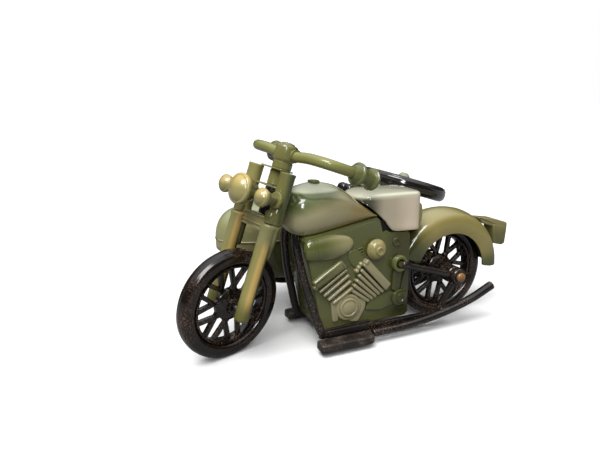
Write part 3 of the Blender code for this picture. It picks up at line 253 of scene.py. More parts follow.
def slab(outline, low, high, soft=0.5, ends="face"):
    """Plate between depths low and high whose edges are quarter rounds: inset e(1-cos t), depth e(1-sin t)."""
    t = np.linspace(0.0, pi / 2, 4)
    inset = soft * (1 - np.cos(t))
    depth = soft * (1 - np.sin(t))
    below = np.stack([inset[::-1], low + depth[::-1]], 1)
    above = np.stack([inset, high - depth], 1)
    return flat(outline, np.vstack([below, above]), ends)


def pipe(points, radius, soft=0.5, sides=24, up=(0, 0, 1), stations=24):
    """Round bar: p(s) + R(s) (cos t u + sin t v), u = up x tangent; R falls by a fillet near both ends."""
    p = np.array(points, float)
    s = np.concatenate([[0.0], np.cumsum(np.linalg.norm(np.diff(p, axis=0), axis=1))])
    turn = np.linspace(0.0, pi / 2, 5)
    near = soft * (1 - np.cos(turn))
    along = np.concatenate([near, np.linspace(soft, s[-1] - soft, stations)[1:-1], s[-1] - near[::-1]])
    line = np.stack([np.interp(along, s, p[:, k]) for k in range(3)], 1)
    wide = np.interp(along, s, np.broadcast_to(np.asarray(radius, float), s.shape))
    gap = np.minimum(np.minimum(along, s[-1] - along), soft)
    wide = wide - soft + np.sqrt(np.maximum(soft ** 2 - (soft - gap) ** 2, 0.0))
    tangent = np.gradient(line, along, axis=0)
    tangent /= np.linalg.norm(tangent, axis=1)[:, None]
    u = np.cross(np.array(up, float), tangent)
    u /= np.linalg.norm(u, axis=1)[:, None]
    v = np.cross(tangent, u)
    t = np.arange(sides) * 2 * pi / sides
    rows = line[:, None] + wide[:, None, None] * (np.cos(t)[None, :, None] * u[:, None]
                                                  + np.sin(t)[None, :, None] * v[:, None])
    return skin(rows)


print("a turned peg holds %.2f mm3" % volume(*turned([(1, 0), (1, 1)])))


# %% [markdown]
# A piece may be made of several skins, each with its own finish. They go into one mesh, with a
# material index on every face. The mesh is written in one go by foreach_set, in metres, and the
# object stays at the origin. The same call makes the piece ride on its body and hides the solids
# it stands for.

# %% From skins to a piece
MADE = []


def piece(name, parts, body, stands_for, at=MACHINE, crease=38):
    """One mesh from {material: [skins]}: all points stacked, faces numbered on from one skin to the next."""
    points, corners, sizes, finish = [], [], [], []
    total = 0
    for number, shapes in enumerate(parts.values()):
        for shape in shapes:
            skin_points, faces = shape
            for group in faces:
                corners.append((group + total).ravel())
                sizes.append(np.full(len(group), group.shape[1]))
                finish.append(np.full(len(group), number))
            points.append(skin_points @ at[:3, :3].T + at[:3, 3])
            total += len(skin_points)
    sizes = np.concatenate(sizes)
    mesh = bpy.data.meshes.new(name)
    mesh.vertices.add(total)
    mesh.vertices.foreach_set("co", np.concatenate(points).astype(np.float32).ravel())
    mesh.loops.add(int(sizes.sum()))
    mesh.loops.foreach_set("vertex_index", np.concatenate(corners).astype(np.int32))
    mesh.polygons.add(len(sizes))
    starts = np.concatenate([[0], np.cumsum(sizes)[:-1]])
    mesh.polygons.foreach_set("loop_start", starts.astype(np.int32))
    mesh.polygons.foreach_set("material_index", np.concatenate(finish).astype(np.int32))
    mesh.update(calc_edges=True)
    mesh.validate()
    for material in parts:
        mesh.materials.append(material)
    mesh.shade_smooth()
    mesh.set_sharp_from_angle(angle=radians(crease))
    made = bpy.data.objects.new(name, mesh)
    bpy.context.scene.collection.objects.link(made)
    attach(made, body)
    if stands_for:
        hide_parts(*stands_for)
    MADE.append((name, len(mesh.polygons)))
    return made


print("ready to make pieces")


# %% [markdown]
# ## The finishes
# The real toy is sprayed from two or three pots without masks, so one colour drifts into the next
# over a few millimetres, and clear varnish over the top gives sharp highlights. Three effects are
# shared by most finishes: a drifting blend of colours, which lays the sprayed colours and, on some
# pieces, painted shade and painted sheen as well; the slight waviness of varnish; and brown paint
# dry-brushed over black. Each is a node group, built once, with its own values in each material.

# %% The shared effects
def effect(name, inputs, outputs):
    """Empty node group with named sockets; returns the group and its input and output nodes."""
    group = bpy.data.node_groups.new(name, "ShaderNodeTree")
    for label, kind, value in inputs:
        socket = group.interface.new_socket(label, in_out="INPUT", socket_type=kind)
        if value is not None:
            socket.default_value = value
    for label, kind in outputs:
        group.interface.new_socket(label, in_out="OUTPUT", socket_type=kind)
    return group, group.nodes.new("NodeGroupInput"), group.nodes.new("NodeGroupOutput")


def maths(tree, operation, first, second):
    """One Math node, each side either a socket or a plain number; returns its result."""
    node = tree.nodes.new("ShaderNodeMath")
    node.operation = operation
    for socket, value in zip(node.inputs, (first, second)):
        if isinstance(value, (int, float)):
            socket.default_value = value
        else:
            tree.links.new(value, socket)
    return node.outputs[0]


def noise(tree, vector, scale, detail=2.0):
    """A Noise Texture's factor at the given scale, a number or a socket."""
    node = tree.nodes.new("ShaderNodeTexNoise")
    node.inputs["Detail"].default_value = detail
    tree.links.new(vector, node.inputs["Vector"])
    if isinstance(scale, (int, float)):
        node.inputs["Scale"].default_value = scale
    else:
        tree.links.new(scale, node.inputs["Scale"])
    return node.outputs["Fac"]


def build_drift():
    """t = smoothstep((p . direction + wander (noise - 0.5) - from) / (to - from)); mix(under, over, t)."""
    group, source, sink = effect(
        "spray_and_painted_shade",
        [("Vector", "NodeSocketVector", None), ("Direction", "NodeSocketVector", None),
         ("From", "NodeSocketFloat", 0.0), ("To", "NodeSocketFloat", 1.0),
         ("Wander", "NodeSocketFloat", 0.002), ("Scale", "NodeSocketFloat", 90.0),
         ("Under", "NodeSocketColor", None), ("Over", "NodeSocketColor", None)],
        [("Color", "NodeSocketColor"), ("Mask", "NodeSocketFloat")])
    dot = group.nodes.new("ShaderNodeVectorMath")
    dot.operation = "DOT_PRODUCT"
    group.links.new(source.outputs["Vector"], dot.inputs[0])
    group.links.new(source.outputs["Direction"], dot.inputs[1])
    cloud = noise(group, source.outputs["Vector"], source.outputs["Scale"])
    shift = maths(group, "MULTIPLY", maths(group, "SUBTRACT", cloud, 0.5), source.outputs["Wander"])
    place = maths(group, "ADD", dot.outputs["Value"], shift)
    fade = group.nodes.new("ShaderNodeMapRange")
    fade.interpolation_type = "SMOOTHSTEP"
    group.links.new(place, fade.inputs["Value"])
    group.links.new(source.outputs["From"], fade.inputs["From Min"])
    group.links.new(source.outputs["To"], fade.inputs["From Max"])
    mix = group.nodes.new("ShaderNodeMix")
    mix.data_type = "RGBA"
    group.links.new(fade.outputs["Result"], mix.inputs["Factor"])
    group.links.new(source.outputs["Under"], mix.inputs[6])
    group.links.new(source.outputs["Over"], mix.inputs[7])
    group.links.new(mix.outputs[2], sink.inputs["Color"])
    group.links.new(fade.outputs["Result"], sink.inputs["Mask"])
    return group


def build_varnish():
    """height = 0.7 noise(coarse) + 0.3 noise(fine); roughness = base + spread (noise - 0.5)."""
    group, source, sink = effect(
        "varnish_skin",
        [("Vector", "NodeSocketVector", None), ("Scale", "NodeSocketFloat", 500.0),
         ("Base", "NodeSocketFloat", 0.2), ("Spread", "NodeSocketFloat", 0.1)],
        [("Height", "NodeSocketFloat"), ("Roughness", "NodeSocketFloat")])
    coarse = noise(group, source.outputs["Vector"], source.outputs["Scale"], 1.0)
    fine = noise(group, source.outputs["Vector"],
                 maths(group, "MULTIPLY", source.outputs["Scale"], 4.0), 2.0)
    height = maths(group, "ADD", maths(group, "MULTIPLY", coarse, 0.7), maths(group, "MULTIPLY", fine, 0.3))
    group.links.new(height, sink.inputs["Height"])
    uneven = maths(group, "MULTIPLY", maths(group, "SUBTRACT", coarse, 0.5), source.outputs["Spread"])
    group.links.new(maths(group, "ADD", source.outputs["Base"], uneven), sink.inputs["Roughness"])
    return group


def build_dry_brush():
    """mask = clip((fine noise - (1 - amount)) * 9) * clip((patch noise - 0.42) * 5): specks inside patches."""
    group, source, sink = effect(
        "dry_brush",
        [("Vector", "NodeSocketVector", None), ("Scale", "NodeSocketFloat", 1500.0),
         ("Amount", "NodeSocketFloat", 0.45), ("Patch", "NodeSocketFloat", 60.0)],
        [("Mask", "NodeSocketFloat")])
    fine = noise(group, source.outputs["Vector"], source.outputs["Scale"], 3.0)
    level = maths(group, "SUBTRACT", 1.0, source.outputs["Amount"])
    specks = maths(group, "MULTIPLY", maths(group, "SUBTRACT", fine, level), 9.0)
    patch = noise(group, source.outputs["Vector"], source.outputs["Patch"], 2.0)
    patches = maths(group, "MULTIPLY", maths(group, "SUBTRACT", patch, 0.42), 5.0)
    both = maths(group, "MULTIPLY", maths(group, "MINIMUM", maths(group, "MAXIMUM", specks, 0.0), 1.0),
                 maths(group, "MINIMUM", maths(group, "MAXIMUM", patches, 0.0), 1.0))
    group.links.new(both, sink.inputs["Mask"])
    return group


DRIFT = build_drift()
VARNISH = build_varnish()
DRY_BRUSH = build_dry_brush()
print("effects:", [group.name for group in (DRIFT, VARNISH, DRY_BRUSH)])


# %% [markdown]
# A finish starts from one colour and adds layers. Each layer is a colour, a direction in the
# measuring frame, and the two distances along it between which the layer comes in. Most layers are
# sprayed colours; a few are painted shade, on the fork, and painted sheen, on the saddle top. Black
# pieces have no layers but a dry brush of brown. The gloss is a clear coat over a slightly rougher paint.

# %% One finish from its layers of colour and painted shade
def finish(name, base, tone_layers=(), gloss=0.24, coat=0.6, waves=420.0, bump=0.05, brush=None, metal=0.0,
           at=MACHINE):
    """Principled finish: base colour through the layers of colour and painted shade (and any dry brush), varnish height
    and roughness.
    """
    material = bpy.data.materials.new(name)
    material.use_nodes = True
    tree = material.node_tree
    shader = tree.nodes["Principled BSDF"]
    shader.inputs["Metallic"].default_value = metal
    shader.inputs["Coat Weight"].default_value = coat
    shader.inputs["Coat Roughness"].default_value = 0.06
    where = tree.nodes.new("ShaderNodeTexCoord").outputs["Object"]
    skin_node = tree.nodes.new("ShaderNodeGroup")
    skin_node.node_tree = VARNISH
    tree.links.new(where, skin_node.inputs["Vector"])
    skin_node.inputs["Scale"].default_value = waves
    skin_node.inputs["Base"].default_value = gloss
    skin_node.inputs["Spread"].default_value = gloss * 0.5
    tree.links.new(skin_node.outputs["Roughness"], shader.inputs["Roughness"])
    lift = tree.nodes.new("ShaderNodeBump")
    lift.inputs["Strength"].default_value = bump
    lift.inputs["Distance"].default_value = 0.0006
    tree.links.new(skin_node.outputs["Height"], lift.inputs["Height"])
    tree.links.new(lift.outputs["Normal"], shader.inputs["Normal"])
    shade = None
    for colour, direction, start, stop, wander in tone_layers:
        way = at[:3, :3] @ np.array(direction, float) / MM
        offset = float(way @ at[:3, 3])
        # Each layer node blends in one layer: a sprayed colour, painted shade or painted sheen.
        spray = tree.nodes.new("ShaderNodeGroup")
        spray.node_tree = DRIFT
        tree.links.new(where, spray.inputs["Vector"])
        spray.inputs["Direction"].default_value = way
        spray.inputs["From"].default_value = offset + start * MM
        spray.inputs["To"].default_value = offset + stop * MM
        spray.inputs["Wander"].default_value = wander * MM
        spray.inputs["Over"].default_value = (*colour, 1.0)
        if shade is None:
            spray.inputs["Under"].default_value = (*base, 1.0)
        else:
            tree.links.new(shade, spray.inputs["Under"])
        shade = spray.outputs["Color"]
    if shade is None:
        cloud = tree.nodes.new("ShaderNodeGroup")
        cloud.node_tree = DRIFT
        tree.links.new(where, cloud.inputs["Vector"])
        cloud.inputs["From"].default_value = -0.02
        cloud.inputs["To"].default_value = 0.02
        cloud.inputs["Wander"].default_value = 0.06
        cloud.inputs["Under"].default_value = (*(0.82 * np.array(base)), 1.0)
        cloud.inputs["Over"].default_value = (*np.minimum(1.15 * np.array(base), 1.0), 1.0)
        shade = cloud.outputs["Color"]
    if brush:
        colour, amount, scale, patch = brush
        dust = tree.nodes.new("ShaderNodeGroup")
        dust.node_tree = DRY_BRUSH
        tree.links.new(where, dust.inputs["Vector"])
        dust.inputs["Scale"].default_value = scale
        dust.inputs["Amount"].default_value = amount
        dust.inputs["Patch"].default_value = patch
        mix = tree.nodes.new("ShaderNodeMix")
        mix.data_type = "RGBA"
        mix.inputs[7].default_value = (*colour, 1.0)
        tree.links.new(dust.outputs["Mask"], mix.inputs["Factor"])
        tree.links.new(shade, mix.inputs[6])
        shade = mix.outputs[2]
    tree.links.new(shade, shader.inputs["Base Color"])
    return material


OLIVE_PAINT = (0.150, 0.165, 0.046)
DARK_OLIVE = (0.060, 0.072, 0.018)
SAGE_PAINT = (0.400, 0.430, 0.300)
TAN_PAINT = (0.430, 0.370, 0.200)
OCHRE_PAINT = (0.640, 0.440, 0.110)
CREAM_PAINT = (0.440, 0.400, 0.250)
BLACK_PAINT = (0.010, 0.008, 0.007)
BROWN_PAINT = (0.170, 0.100, 0.060)

olive = finish("olive_enamel", (0.120, 0.130, 0.038), [(DARK_OLIVE, (0, 0, -1), -60, 10, 18)])
fork_olive = finish("fork_olive_enamel", (0.170, 0.165, 0.050),
                    [((0.300, 0.275, 0.100), (-0.81, 0.59, 0), 3, 9, 2),
                     # Painted shade: the DARK_OLIVE layer along (0.81, -0.59, 0) darkens the rear left side of the
                     # tubes and column.
                     (DARK_OLIVE, (0.81, -0.59, 0), 1.5, 5.5, 1.5)], at=FORK)
slider_left = finish("slider_left", (0.300, 0.270, 0.090),
                     [((0.620, 0.430, 0.130), (0.81, -0.59, 0), -1.2, 0.8, 0.6),
                      # Painted shade: this near-black layer darkens the slider's rear left edge.
                      ((0.090, 0.085, 0.022), (0.81, -0.59, 0), 2.3, 3.8, 0.5),
                      ((0.270, 0.260, 0.100), (0, 0, 1), 32, 41, 4),
                      ((0.130, 0.120, 0.026), (0, 0, -1), -10, 2, 4)], at=FORK)
slider_right = finish("slider_right", (0.300, 0.270, 0.090),
                      [((0.600, 0.420, 0.130), (0.81, -0.59, 0), -16.0, -14.4, 0.6),
                       # Painted shade: this near-black layer darkens the slider's rear left edge.
                       ((0.090, 0.085, 0.022), (0.81, -0.59, 0), -12.2, -11.0, 0.5),
                       ((0.130, 0.120, 0.026), (0, 0, -1), -10, 2, 4)], at=FORK)
lamp_tan = finish("lamp_tan", (0.150, 0.145, 0.042),
                  [((0.330, 0.290, 0.115), (-1, 0, 0), 21.5, 24.0, 1.0),
                   ((0.520, 0.390, 0.125), (-0.5, 0, 0.87), 65, 69, 1.5)], at=FORK)
spot_tan = finish("spot_tan", (0.130, 0.125, 0.036),
                  [((0.270, 0.245, 0.095), (-1, 0, 0), 18.0, 21.0, 1.0),
                   ((0.480, 0.370, 0.140), (-0.5, 0, 0.87), 62.5, 65, 1.5)], at=FORK)
bridge_tan = finish("bridge_tan", (0.300, 0.270, 0.120))
bar_olive = finish("bar_olive", (0.230, 0.230, 0.068), [(DARK_OLIVE, (1, 0, 0), 10, 24, 6)], at=FORK)
tank_fade = finish("tank_fade", (0.330, 0.300, 0.165),
                   [((0.340, 0.260, 0.105), (0.8, 0, -0.6), -2, 14, 5),
                    ((0.085, 0.110, 0.034), (-0.35, 0, 0.94), 55, 64, 4),
                    ((0.430, 0.450, 0.320), (0, 0, 1), 85.4, 86.6, 0.4)],
                   gloss=0.18, coat=0.8)
saddle_silver = finish("saddle_silver", (0.500, 0.430, 0.310),
                       [((0.680, 0.570, 0.430), (1, 0, 0), 92, 104, 6),
                        ((0.070, 0.080, 0.036), (-1, 0, 0), -86, -76, 4),
                        # The pale layer over the top is partly the saddle's colour and partly painted sheen on its
                        # upper face.
                        ((0.620, 0.610, 0.460), (0, 0, 1), 79.5, 81.5, 0.8)],
                       gloss=0.14, coat=1.0, metal=0.10)
spare_sage = finish("spare_sage", (0.300, 0.300, 0.200), gloss=0.16, coat=0.9)
fender_fade = finish("fender_fade", (0.270, 0.225, 0.072),
                     [((0.040, 0.048, 0.011), (-0.9, 0, -0.45), -138, -118, 6),
                      ((0.098, 0.100, 0.032), (0.8, 0, -0.5), 106, 124, 5),
                      (DARK_OLIVE, (0, 0, -1), -42, -30, 5),
                      ((0.320, 0.300, 0.150), (-0.3, 0, 0.95), 20, 32, 3)],
                     gloss=0.18, coat=0.8)
case_fade = finish("case_fade", (0.100, 0.108, 0.030),
                   [((0.120, 0.130, 0.050), (0.16, 0, 0.98), 68, 82, 5),
                    ((0.046, 0.046, 0.011), (1, 0, 0), 84, 96, 5),
                    ((0.150, 0.145, 0.055), (-0.3, 0, -0.95), -44, -20, 8)])
cast_cream = finish("cast_cream", (0.300, 0.270, 0.145),
                    [((0.130, 0.130, 0.045), (-0.75, 0, 0.66), -24, -8, 4)], gloss=0.24)
# Near-black olive for the plates behind the engine fins: painted shade in the gaps between fins.
fin_gap_shade = finish("fin_gap_shade", (0.036, 0.036, 0.012), gloss=0.34)
knob_tan = finish("knob_tan", (0.310, 0.265, 0.105))
cleaner_olive = finish("cleaner_olive", (0.100, 0.110, 0.026), [((0.330, 0.300, 0.140), (1, 0, 0), 46, 64, 4)],
                       gloss=0.16, coat=0.9)
tail_olive = finish("tail_olive", (0.120, 0.115, 0.036), [((0.250, 0.220, 0.085), (0, 0, 1), 48, 58, 5)])
car_sage = finish("car_sage", (0.300, 0.290, 0.130),
                  [((0.330, 0.350, 0.190), (0, 0, 1), 58, 70, 6),
                   ((0.110, 0.120, 0.040), (1, 0, 0), 96, 150, 14)])
car_olive = finish("car_olive", (0.360, 0.315, 0.140), [((0.110, 0.115, 0.038), (1, 0, 0), 8, 34, 8)])
black_gloss = finish("black_gloss", BLACK_PAINT, brush=(BROWN_PAINT, 0.44, 1400.0, 70.0), gloss=0.16, coat=0.5)
plain_black = finish("piano_black", BLACK_PAINT, gloss=0.10, coat=1.0, bump=0.02)
wheel_black = finish("wheel_black", (0.006, 0.004, 0.003), brush=((0.26, 0.15, 0.09), 0.44, 1700.0, 120.0),
                     gloss=0.16, coat=0.5)
tyre_black = finish("tyre_black", (0.008, 0.005, 0.004), brush=((0.15, 0.080, 0.045), 0.48, 1500.0, 60.0),
                    gloss=0.16, coat=0.4, waves=900.0, bump=0.10)
board_speckle = finish("board_speckle", (0.022, 0.016, 0.012), brush=((0.22, 0.17, 0.14), 0.50, 1500.0, 90.0),
                       gloss=0.42, coat=0.2, bump=0.35, waves=1300.0)
shadow_black = finish("shadow_black", (0.006, 0.006, 0.004), gloss=0.6, coat=0.0)
copper = finish("copper_cap", (0.150, 0.070, 0.020), [((0.280, 0.140, 0.045), (0, 0, 1), 28, 33, 3)],
                gloss=0.30)
steel = finish("pressed_steel", (0.560, 0.560, 0.550), gloss=0.32, coat=0.0, metal=1.0, waves=1600.0)
brass = finish("cut_brass", (0.640, 0.470, 0.200), gloss=0.30, coat=0.0, metal=1.0, waves=1600.0)
belt = finish("belt_cord", (0.020, 0.018, 0.016), gloss=0.6, coat=0.0, waves=2200.0, bump=0.3)
print("finishes:", len(bpy.data.materials))


# %% [markdown]
# ## The wheels
# Each wheel is one black moulding: a rim, a knobbly hub and sixteen spokes that leave the hub in
# crossing pairs, so that a slot with nearly parallel sides lies between pairs and a small triangle
# inside each. The tyre is a separate ring with fine ribs round its tread. A ring is a closed
# profile turned about the axle, and one spoke is an outline turned to its sixteen places.

# %% Wheel and tyre
def about_y(x, y, z, angle=0.0):
    """Matrix that lays local Z along -Y at (x, y, z), first turned by an angle about that axis."""
    c, s = np.cos(angle), np.sin(angle)
    matrix = np.eye(4)
    matrix[:3, 0] = (c, 0, s)
    matrix[:3, 1] = (-s, 0, c)
    matrix[:3, 2] = (0, -1, 0)
    matrix[:3, 3] = (x, y, z)
    return matrix


def tyre_ring(outer, width, height, place):
    """Ring of section r = c + a cos|t|^0.8, h = b sin|t|^0.8, with ribs 0.12 cos(11 t) on the outer half."""
    t = np.linspace(0.0, 2 * pi, 56, endpoint=False)
    cos, sin = np.cos(t), np.sin(t)
    ribs = 0.10 * np.cos(14 * t) * np.clip(cos + 0.35, 0.0, 1.0)
    r = outer - height / 2 - 0.10 + (height / 2) * np.sign(cos) * np.abs(cos) ** 0.85 + ribs
    h = width / 2 * np.sign(sin) * np.abs(sin) ** 0.80
    return moved(turned(np.stack([r, h], 1), 96, closed=True), place)


def spokes(place, first, reach, thick):
    """Sixteen bars in pairs: from r 6.5, 1.8 mm to one side of the pair's line, out to r = reach opposite."""
    bars = []
    for number in range(8):
        line = first + (number + 0.5) * pi / 4
        for hand in (-1.0, 1.0):
            start = np.array([6.5, -1.8 * hand])
            stop = np.array([reach, (reach - 6.5) * 0.49 * hand - 1.8 * hand])
            way = (stop - start) / np.linalg.norm(stop - start)
            side = np.array([-way[1], way[0]]) * 1.15
            box = np.array([start - side, start + side, stop + side * 1.15, stop - side * 1.15])
            turn = np.array([[np.cos(line), -np.sin(line)], [np.sin(line), np.cos(line)]])
            bars.append(slab(box @ turn.T, -thick / 2, thick / 2, 0.45))
    upright = place.copy()
    upright[:3, :3] = np.eye(3)
    return [moved(bar, upright) for bar in bars]


def wheel_parts(place, first, hub_half, bore, outer=22.0):
    """Rim, hub and spokes of one wheel moulding; place has local Z along the axle."""
    rim = turned([(outer - 0.1, -3.3), (outer - 0.1, 3.3), (outer - 0.6, 3.6), (outer - 1.3, 3.2), (outer - 1.7, 1.6),
                  (outer - 1.7, -1.6), (outer - 1.3, -3.2), (outer - 0.6, -3.6)], 96, closed=True)
    hub = turned([(bore, -hub_half), (3.2, -hub_half), (4.0, -hub_half + 0.5), (4.4, -hub_half * 0.6), (6.2, -2.6),
                  (8.3, -1.9), (8.9, -1.2), (8.9, 1.2), (8.3, 1.9), (6.2, 2.6), (4.4, hub_half * 0.6),
                  (4.0, hub_half - 0.5), (3.2, hub_half), (bore, hub_half)], 64, closed=True)
    shapes = [moved(rim, place), moved(hub, place)] + spokes(place, first, outer - 1.2, 2.6)
    for number in range(10):
        angle = first + number * pi / 5
        for face in (-1.0, 1.0):
            knob = turned([(0.8, 1.6), (0.7, 2.2), (0.3, 2.5)], 10)
            seat = np.eye(4)
            seat[:3, 3] = (6.9 * np.cos(angle), 6.9 * np.sin(angle), 0.0)
            seat[2, 2] = face
            shapes.append(moved(moved(knob, seat), place))
    return shapes


AXLE_FRONT = about_y(-8.2, 0.0, 0.0)
piece("front_wheel_spokes", {wheel_black: wheel_parts(AXLE_FRONT, radians(25.5), 6.0, 1.75)},
      "front_wheel_set", ["front_wheel"], FORK)
piece("front_tyre_ring", {tyre_black: [tyre_ring(30.0, 9.6, 8.0, AXLE_FRONT)]}, "front_wheel_set", ["front_tyre"],
      FORK)
AXLE_REAR = about_y(*REAR_AXLE)
piece("rear_wheel_spokes", {wheel_black: wheel_parts(AXLE_REAR, radians(35.0), 6.0, 1.75)},
      "rear_wheel_set", ["rear_wheel"])
piece("rear_tyre_ring", {tyre_black: [tyre_ring(30.0, 9.6, 8.0, AXLE_REAR)]}, "rear_wheel_set", ["rear_tyre"])
AXLE_CAR = about_y(CAR_WHEEL_X, CAR_Y + 30.5, 30.0)
piece("sidecar_wheel_spokes", {wheel_black: wheel_parts(AXLE_CAR, radians(10.0), 4.8, 1.75)},
      "sidecar_wheel_set", ["sidecar_wheel"])
piece("sidecar_tyre_ring", {tyre_black: [tyre_ring(30.0, 9.6, 8.0, AXLE_CAR)]}, "sidecar_wheel_set",
      ["sidecar_tyre"])
print("wheels:", [made[0] for made in MADE])


# %% [markdown]
# ## The fork, lamps and handlebar
# Everything here steers, so it is laid out in the fork's own frame. Each leg is an ochre slider
# with an olive tube beside it. Two thin plates, a block and a thick column tie the legs together,
# and the handlebar passes through the drum on top of the column.

# %% Legs, tubes and the plates between them
SIDES = (("left", -1.0), ("right", 1.0))


def lathe_at(x, y, z, flatten=1.0):
    """Matrix for a turned piece standing along +Z at (x, y, z), squeezed across Y when flatten < 1."""
    matrix = np.eye(4)
    matrix[1, 1] = flatten
    matrix[:3, 3] = (x, y, z)
    return matrix


def along_x(x, y, z, sign=1.0):
    """Matrix for a turned piece whose axis runs along X: local Z goes to sign X, local X to Z."""
    matrix = np.zeros((4, 4))
    matrix[:3, 0] = (0, 0, 1)
    matrix[:3, 1] = (0, sign, 0)
    matrix[:3, 2] = (sign, 0, 0)
    matrix[:, 3] = (x, y, z, 1)
    return matrix


for side, sign in SIDES:
    y = 12.6 * sign
    slider = turned([(2.2, -4.4), (3.3, -4.3), (3.8, -3.7), (3.9, -2.8), (3.9, 44.6), (4.15, 45.0), (4.15, 46.4),
                     (3.9, 46.8), (3.4, 47.0)], 40)
    behind = turned([(2.0, 29.3), (3.2, 29.5), (3.6, 30.2), (3.7, 31.2), (3.7, 44.8), (3.95, 45.2), (3.95, 46.4),
                     (3.4, 47.0)], 36)
    ochre = slider_left if side == "left" else slider_right
    slider_skins = [moved(slider, lathe_at(-8.6, y, 0)), moved(behind, lathe_at(-6.0, y, 0))]
    piece("fork_slider_" + side, {ochre: slider_skins}, "fork", ["fork_leg_" + side], FORK)
    upper = turned([(3.2, 47.3), (4.2, 47.4), (4.25, 48.6), (4.0, 49.0), (4.0, 72.4), (4.1, 72.7), (4.1, 73.3),
                    (3.7, 73.6), (3.2, 73.4), (3.1, 72.8), (1.5, 72.6)], 40)
    front = turned([(2.2, 47.3), (2.9, 47.5), (3.2, 48.2), (3.2, 52.6), (2.7, 53.4), (1.4, 53.6)], 32)
    piece("fork_upper_" + side, {fork_olive: [moved(upper, lathe_at(-6.0, y, 0)),
                                              moved(front, lathe_at(-9.0, y, 0))]},
          "fork", ["fork_tube_" + side], FORK)


def lying(shape):
    """A flat shape laid down so that its depth runs upward: (x, depth, y) goes to (x, y, depth)."""
    turn = np.eye(4)
    turn[:3, :3] = [[1, 0, 0], [0, 0, 1], [0, 1, 0]]
    return moved(shape, turn)


PLATE = [(-7.5, -8.0), (-7.5, 8.0), (-4.0, 8.6), (3.2, 6.2), (5.4, 3.0), (5.4, -3.0), (3.2, -6.2), (-4.0, -8.6)]
for name, low in (("lower_clamp_plate", 64.4), ("upper_clamp_plate", 73.7)):
    plate = lying(slab(rounded(PLATE, 1.2), low, low + 0.8, 0.25))
    piece(name + "_casting", {fork_olive: [plate]}, "fork", [name], FORK)
BLOCK = [(-9.0, -7.9), (-9.0, 7.9), (-3.6, 8.2), (3.4, 3.6), (3.4, -3.6), (-3.6, -8.2)]
RIB = [(-9.7, -8.1), (-9.7, 8.1), (-3.6, 8.3), (3.8, 3.8), (3.8, -3.8), (-3.6, -8.3)]
bridge_parts = [lying(slab(rounded(BLOCK, 0.8), 42.6, 49.2, 0.4)),
                lying(slab(rounded(RIB, 0.8), 48.5, 49.5, 0.3)),
                lying(slab(rounded(RIB, 0.8), 44.3, 45.2, 0.3)),
                lying(slab(rounded(RIB, 0.8), 42.4, 43.1, 0.3))]
piece("fork_bridge_casting", {bridge_tan: bridge_parts}, "fork", ["fork_bridge"], FORK)
print("fork pieces:", [made[0] for made in MADE[6:]])


# %% Column, drum and handlebar
column = turned([(1.6, 43.2), (1.9, 43.4), (1.9, 65.4), (4.8, 65.5), (5.2, 65.9), (5.2, 73.2), (4.9, 73.5),
                 (4.9, 74.7), (5.2, 74.9), (5.2, 77.9), (4.9, 78.2), (5.0, 78.6), (5.7, 79.3), (5.9, 80.2),
                 (5.9, 85.6), (5.6, 86.7), (4.8, 87.3), (3.6, 87.5), (3.4, 87.9), (2.6, 88.3), (1.0, 88.5)], 48)
collars = [moved(turned([(2.9, 0.0), (3.5, 0.2), (3.6, 0.8), (3.5, 1.6), (2.9, 1.9)], 28, closed=False),
                 np.array([[1, 0, 0, 1.2], [0, 0, sign, 5.3 * sign], [0, 1, 0, 82.7], [0, 0, 0, 1]]))
           for side, sign in SIDES]
piece("steering_column", {fork_olive: [column] + collars}, "fork", ["steering_stem"], FORK)


def bar_line(sign):
    """Control points of half the handlebar: out to the elbow, then back to the grip."""
    return [(1.2, 7.0 * sign, 82.6), (1.2, 15.4 * sign, 83.4), (2.0, 23.8 * sign, 83.5),
            (6.0, 29.7 * sign, 83.4), (20.6, 32.2 * sign, 83.2), (32.0, 33.6 * sign, 82.8)]


bar_points = smooth(list(reversed(bar_line(-1.0))) + bar_line(1.0), 8)
piece("handlebar_tube", {bar_olive: [pipe(bar_points, 2.8, 0.6, 28, stations=80)]}, "fork", ["handlebar"],
      FORK)


def along(start, stop):
    """Matrix that stands local Z on the line from start to stop, with local Y as level as it can be."""
    z = np.array(stop, float) - start
    z /= np.linalg.norm(z)
    x = np.cross((0.0, 1.0, 0.0), z) if abs(z[1]) < 0.9 else np.cross((1.0, 0.0, 0.0), z)
    x /= np.linalg.norm(x)
    matrix = np.eye(4)
    matrix[:3, 0] = x
    matrix[:3, 1] = np.cross(z, x)
    matrix[:3, 2] = z
    matrix[:3, 3] = start
    return matrix


GRIP = [(2.9, -2.6), (3.6, -2.4), (4.4, -1.0), (4.9, 0.2), (5.8, 0.5), (6.1, 0.9), (6.1, 1.9), (5.8, 2.2), (5.3, 2.3),
        (5.1, 2.7), (4.3, 3.0), (4.0, 4.0), (4.0, 9.4), (4.3, 10.6), (4.8, 10.9), (5.5, 11.1), (5.9, 11.5), (5.9, 12.5),
        (5.6, 12.9), (5.0, 12.9), (4.7, 12.4), (3.4, 12.3), (3.1, 12.8), (2.0, 13.0)]
for side, sign in SIDES:
    end = np.array(bar_line(sign)[-1])
    start = np.array(bar_line(sign)[-2])
    way = (end - start) / np.linalg.norm(end - start)
    grip = moved(turned(GRIP, 40), along(end - way * 12.4, end))
    piece("grip_flanges_" + side, {olive: [grip]}, "fork", ["grip_" + side], FORK)
print("handlebar length %.1f mm" % np.linalg.norm(np.diff(bar_points, axis=0), axis=1).sum())


# %% [markdown]
# The lamps have no glass: each is a solid button with a rim bead round a slightly domed face. They
# sit on a flat bar fixed across the fronts of the two fork tubes, with a faceted nut behind each
# small lamp.

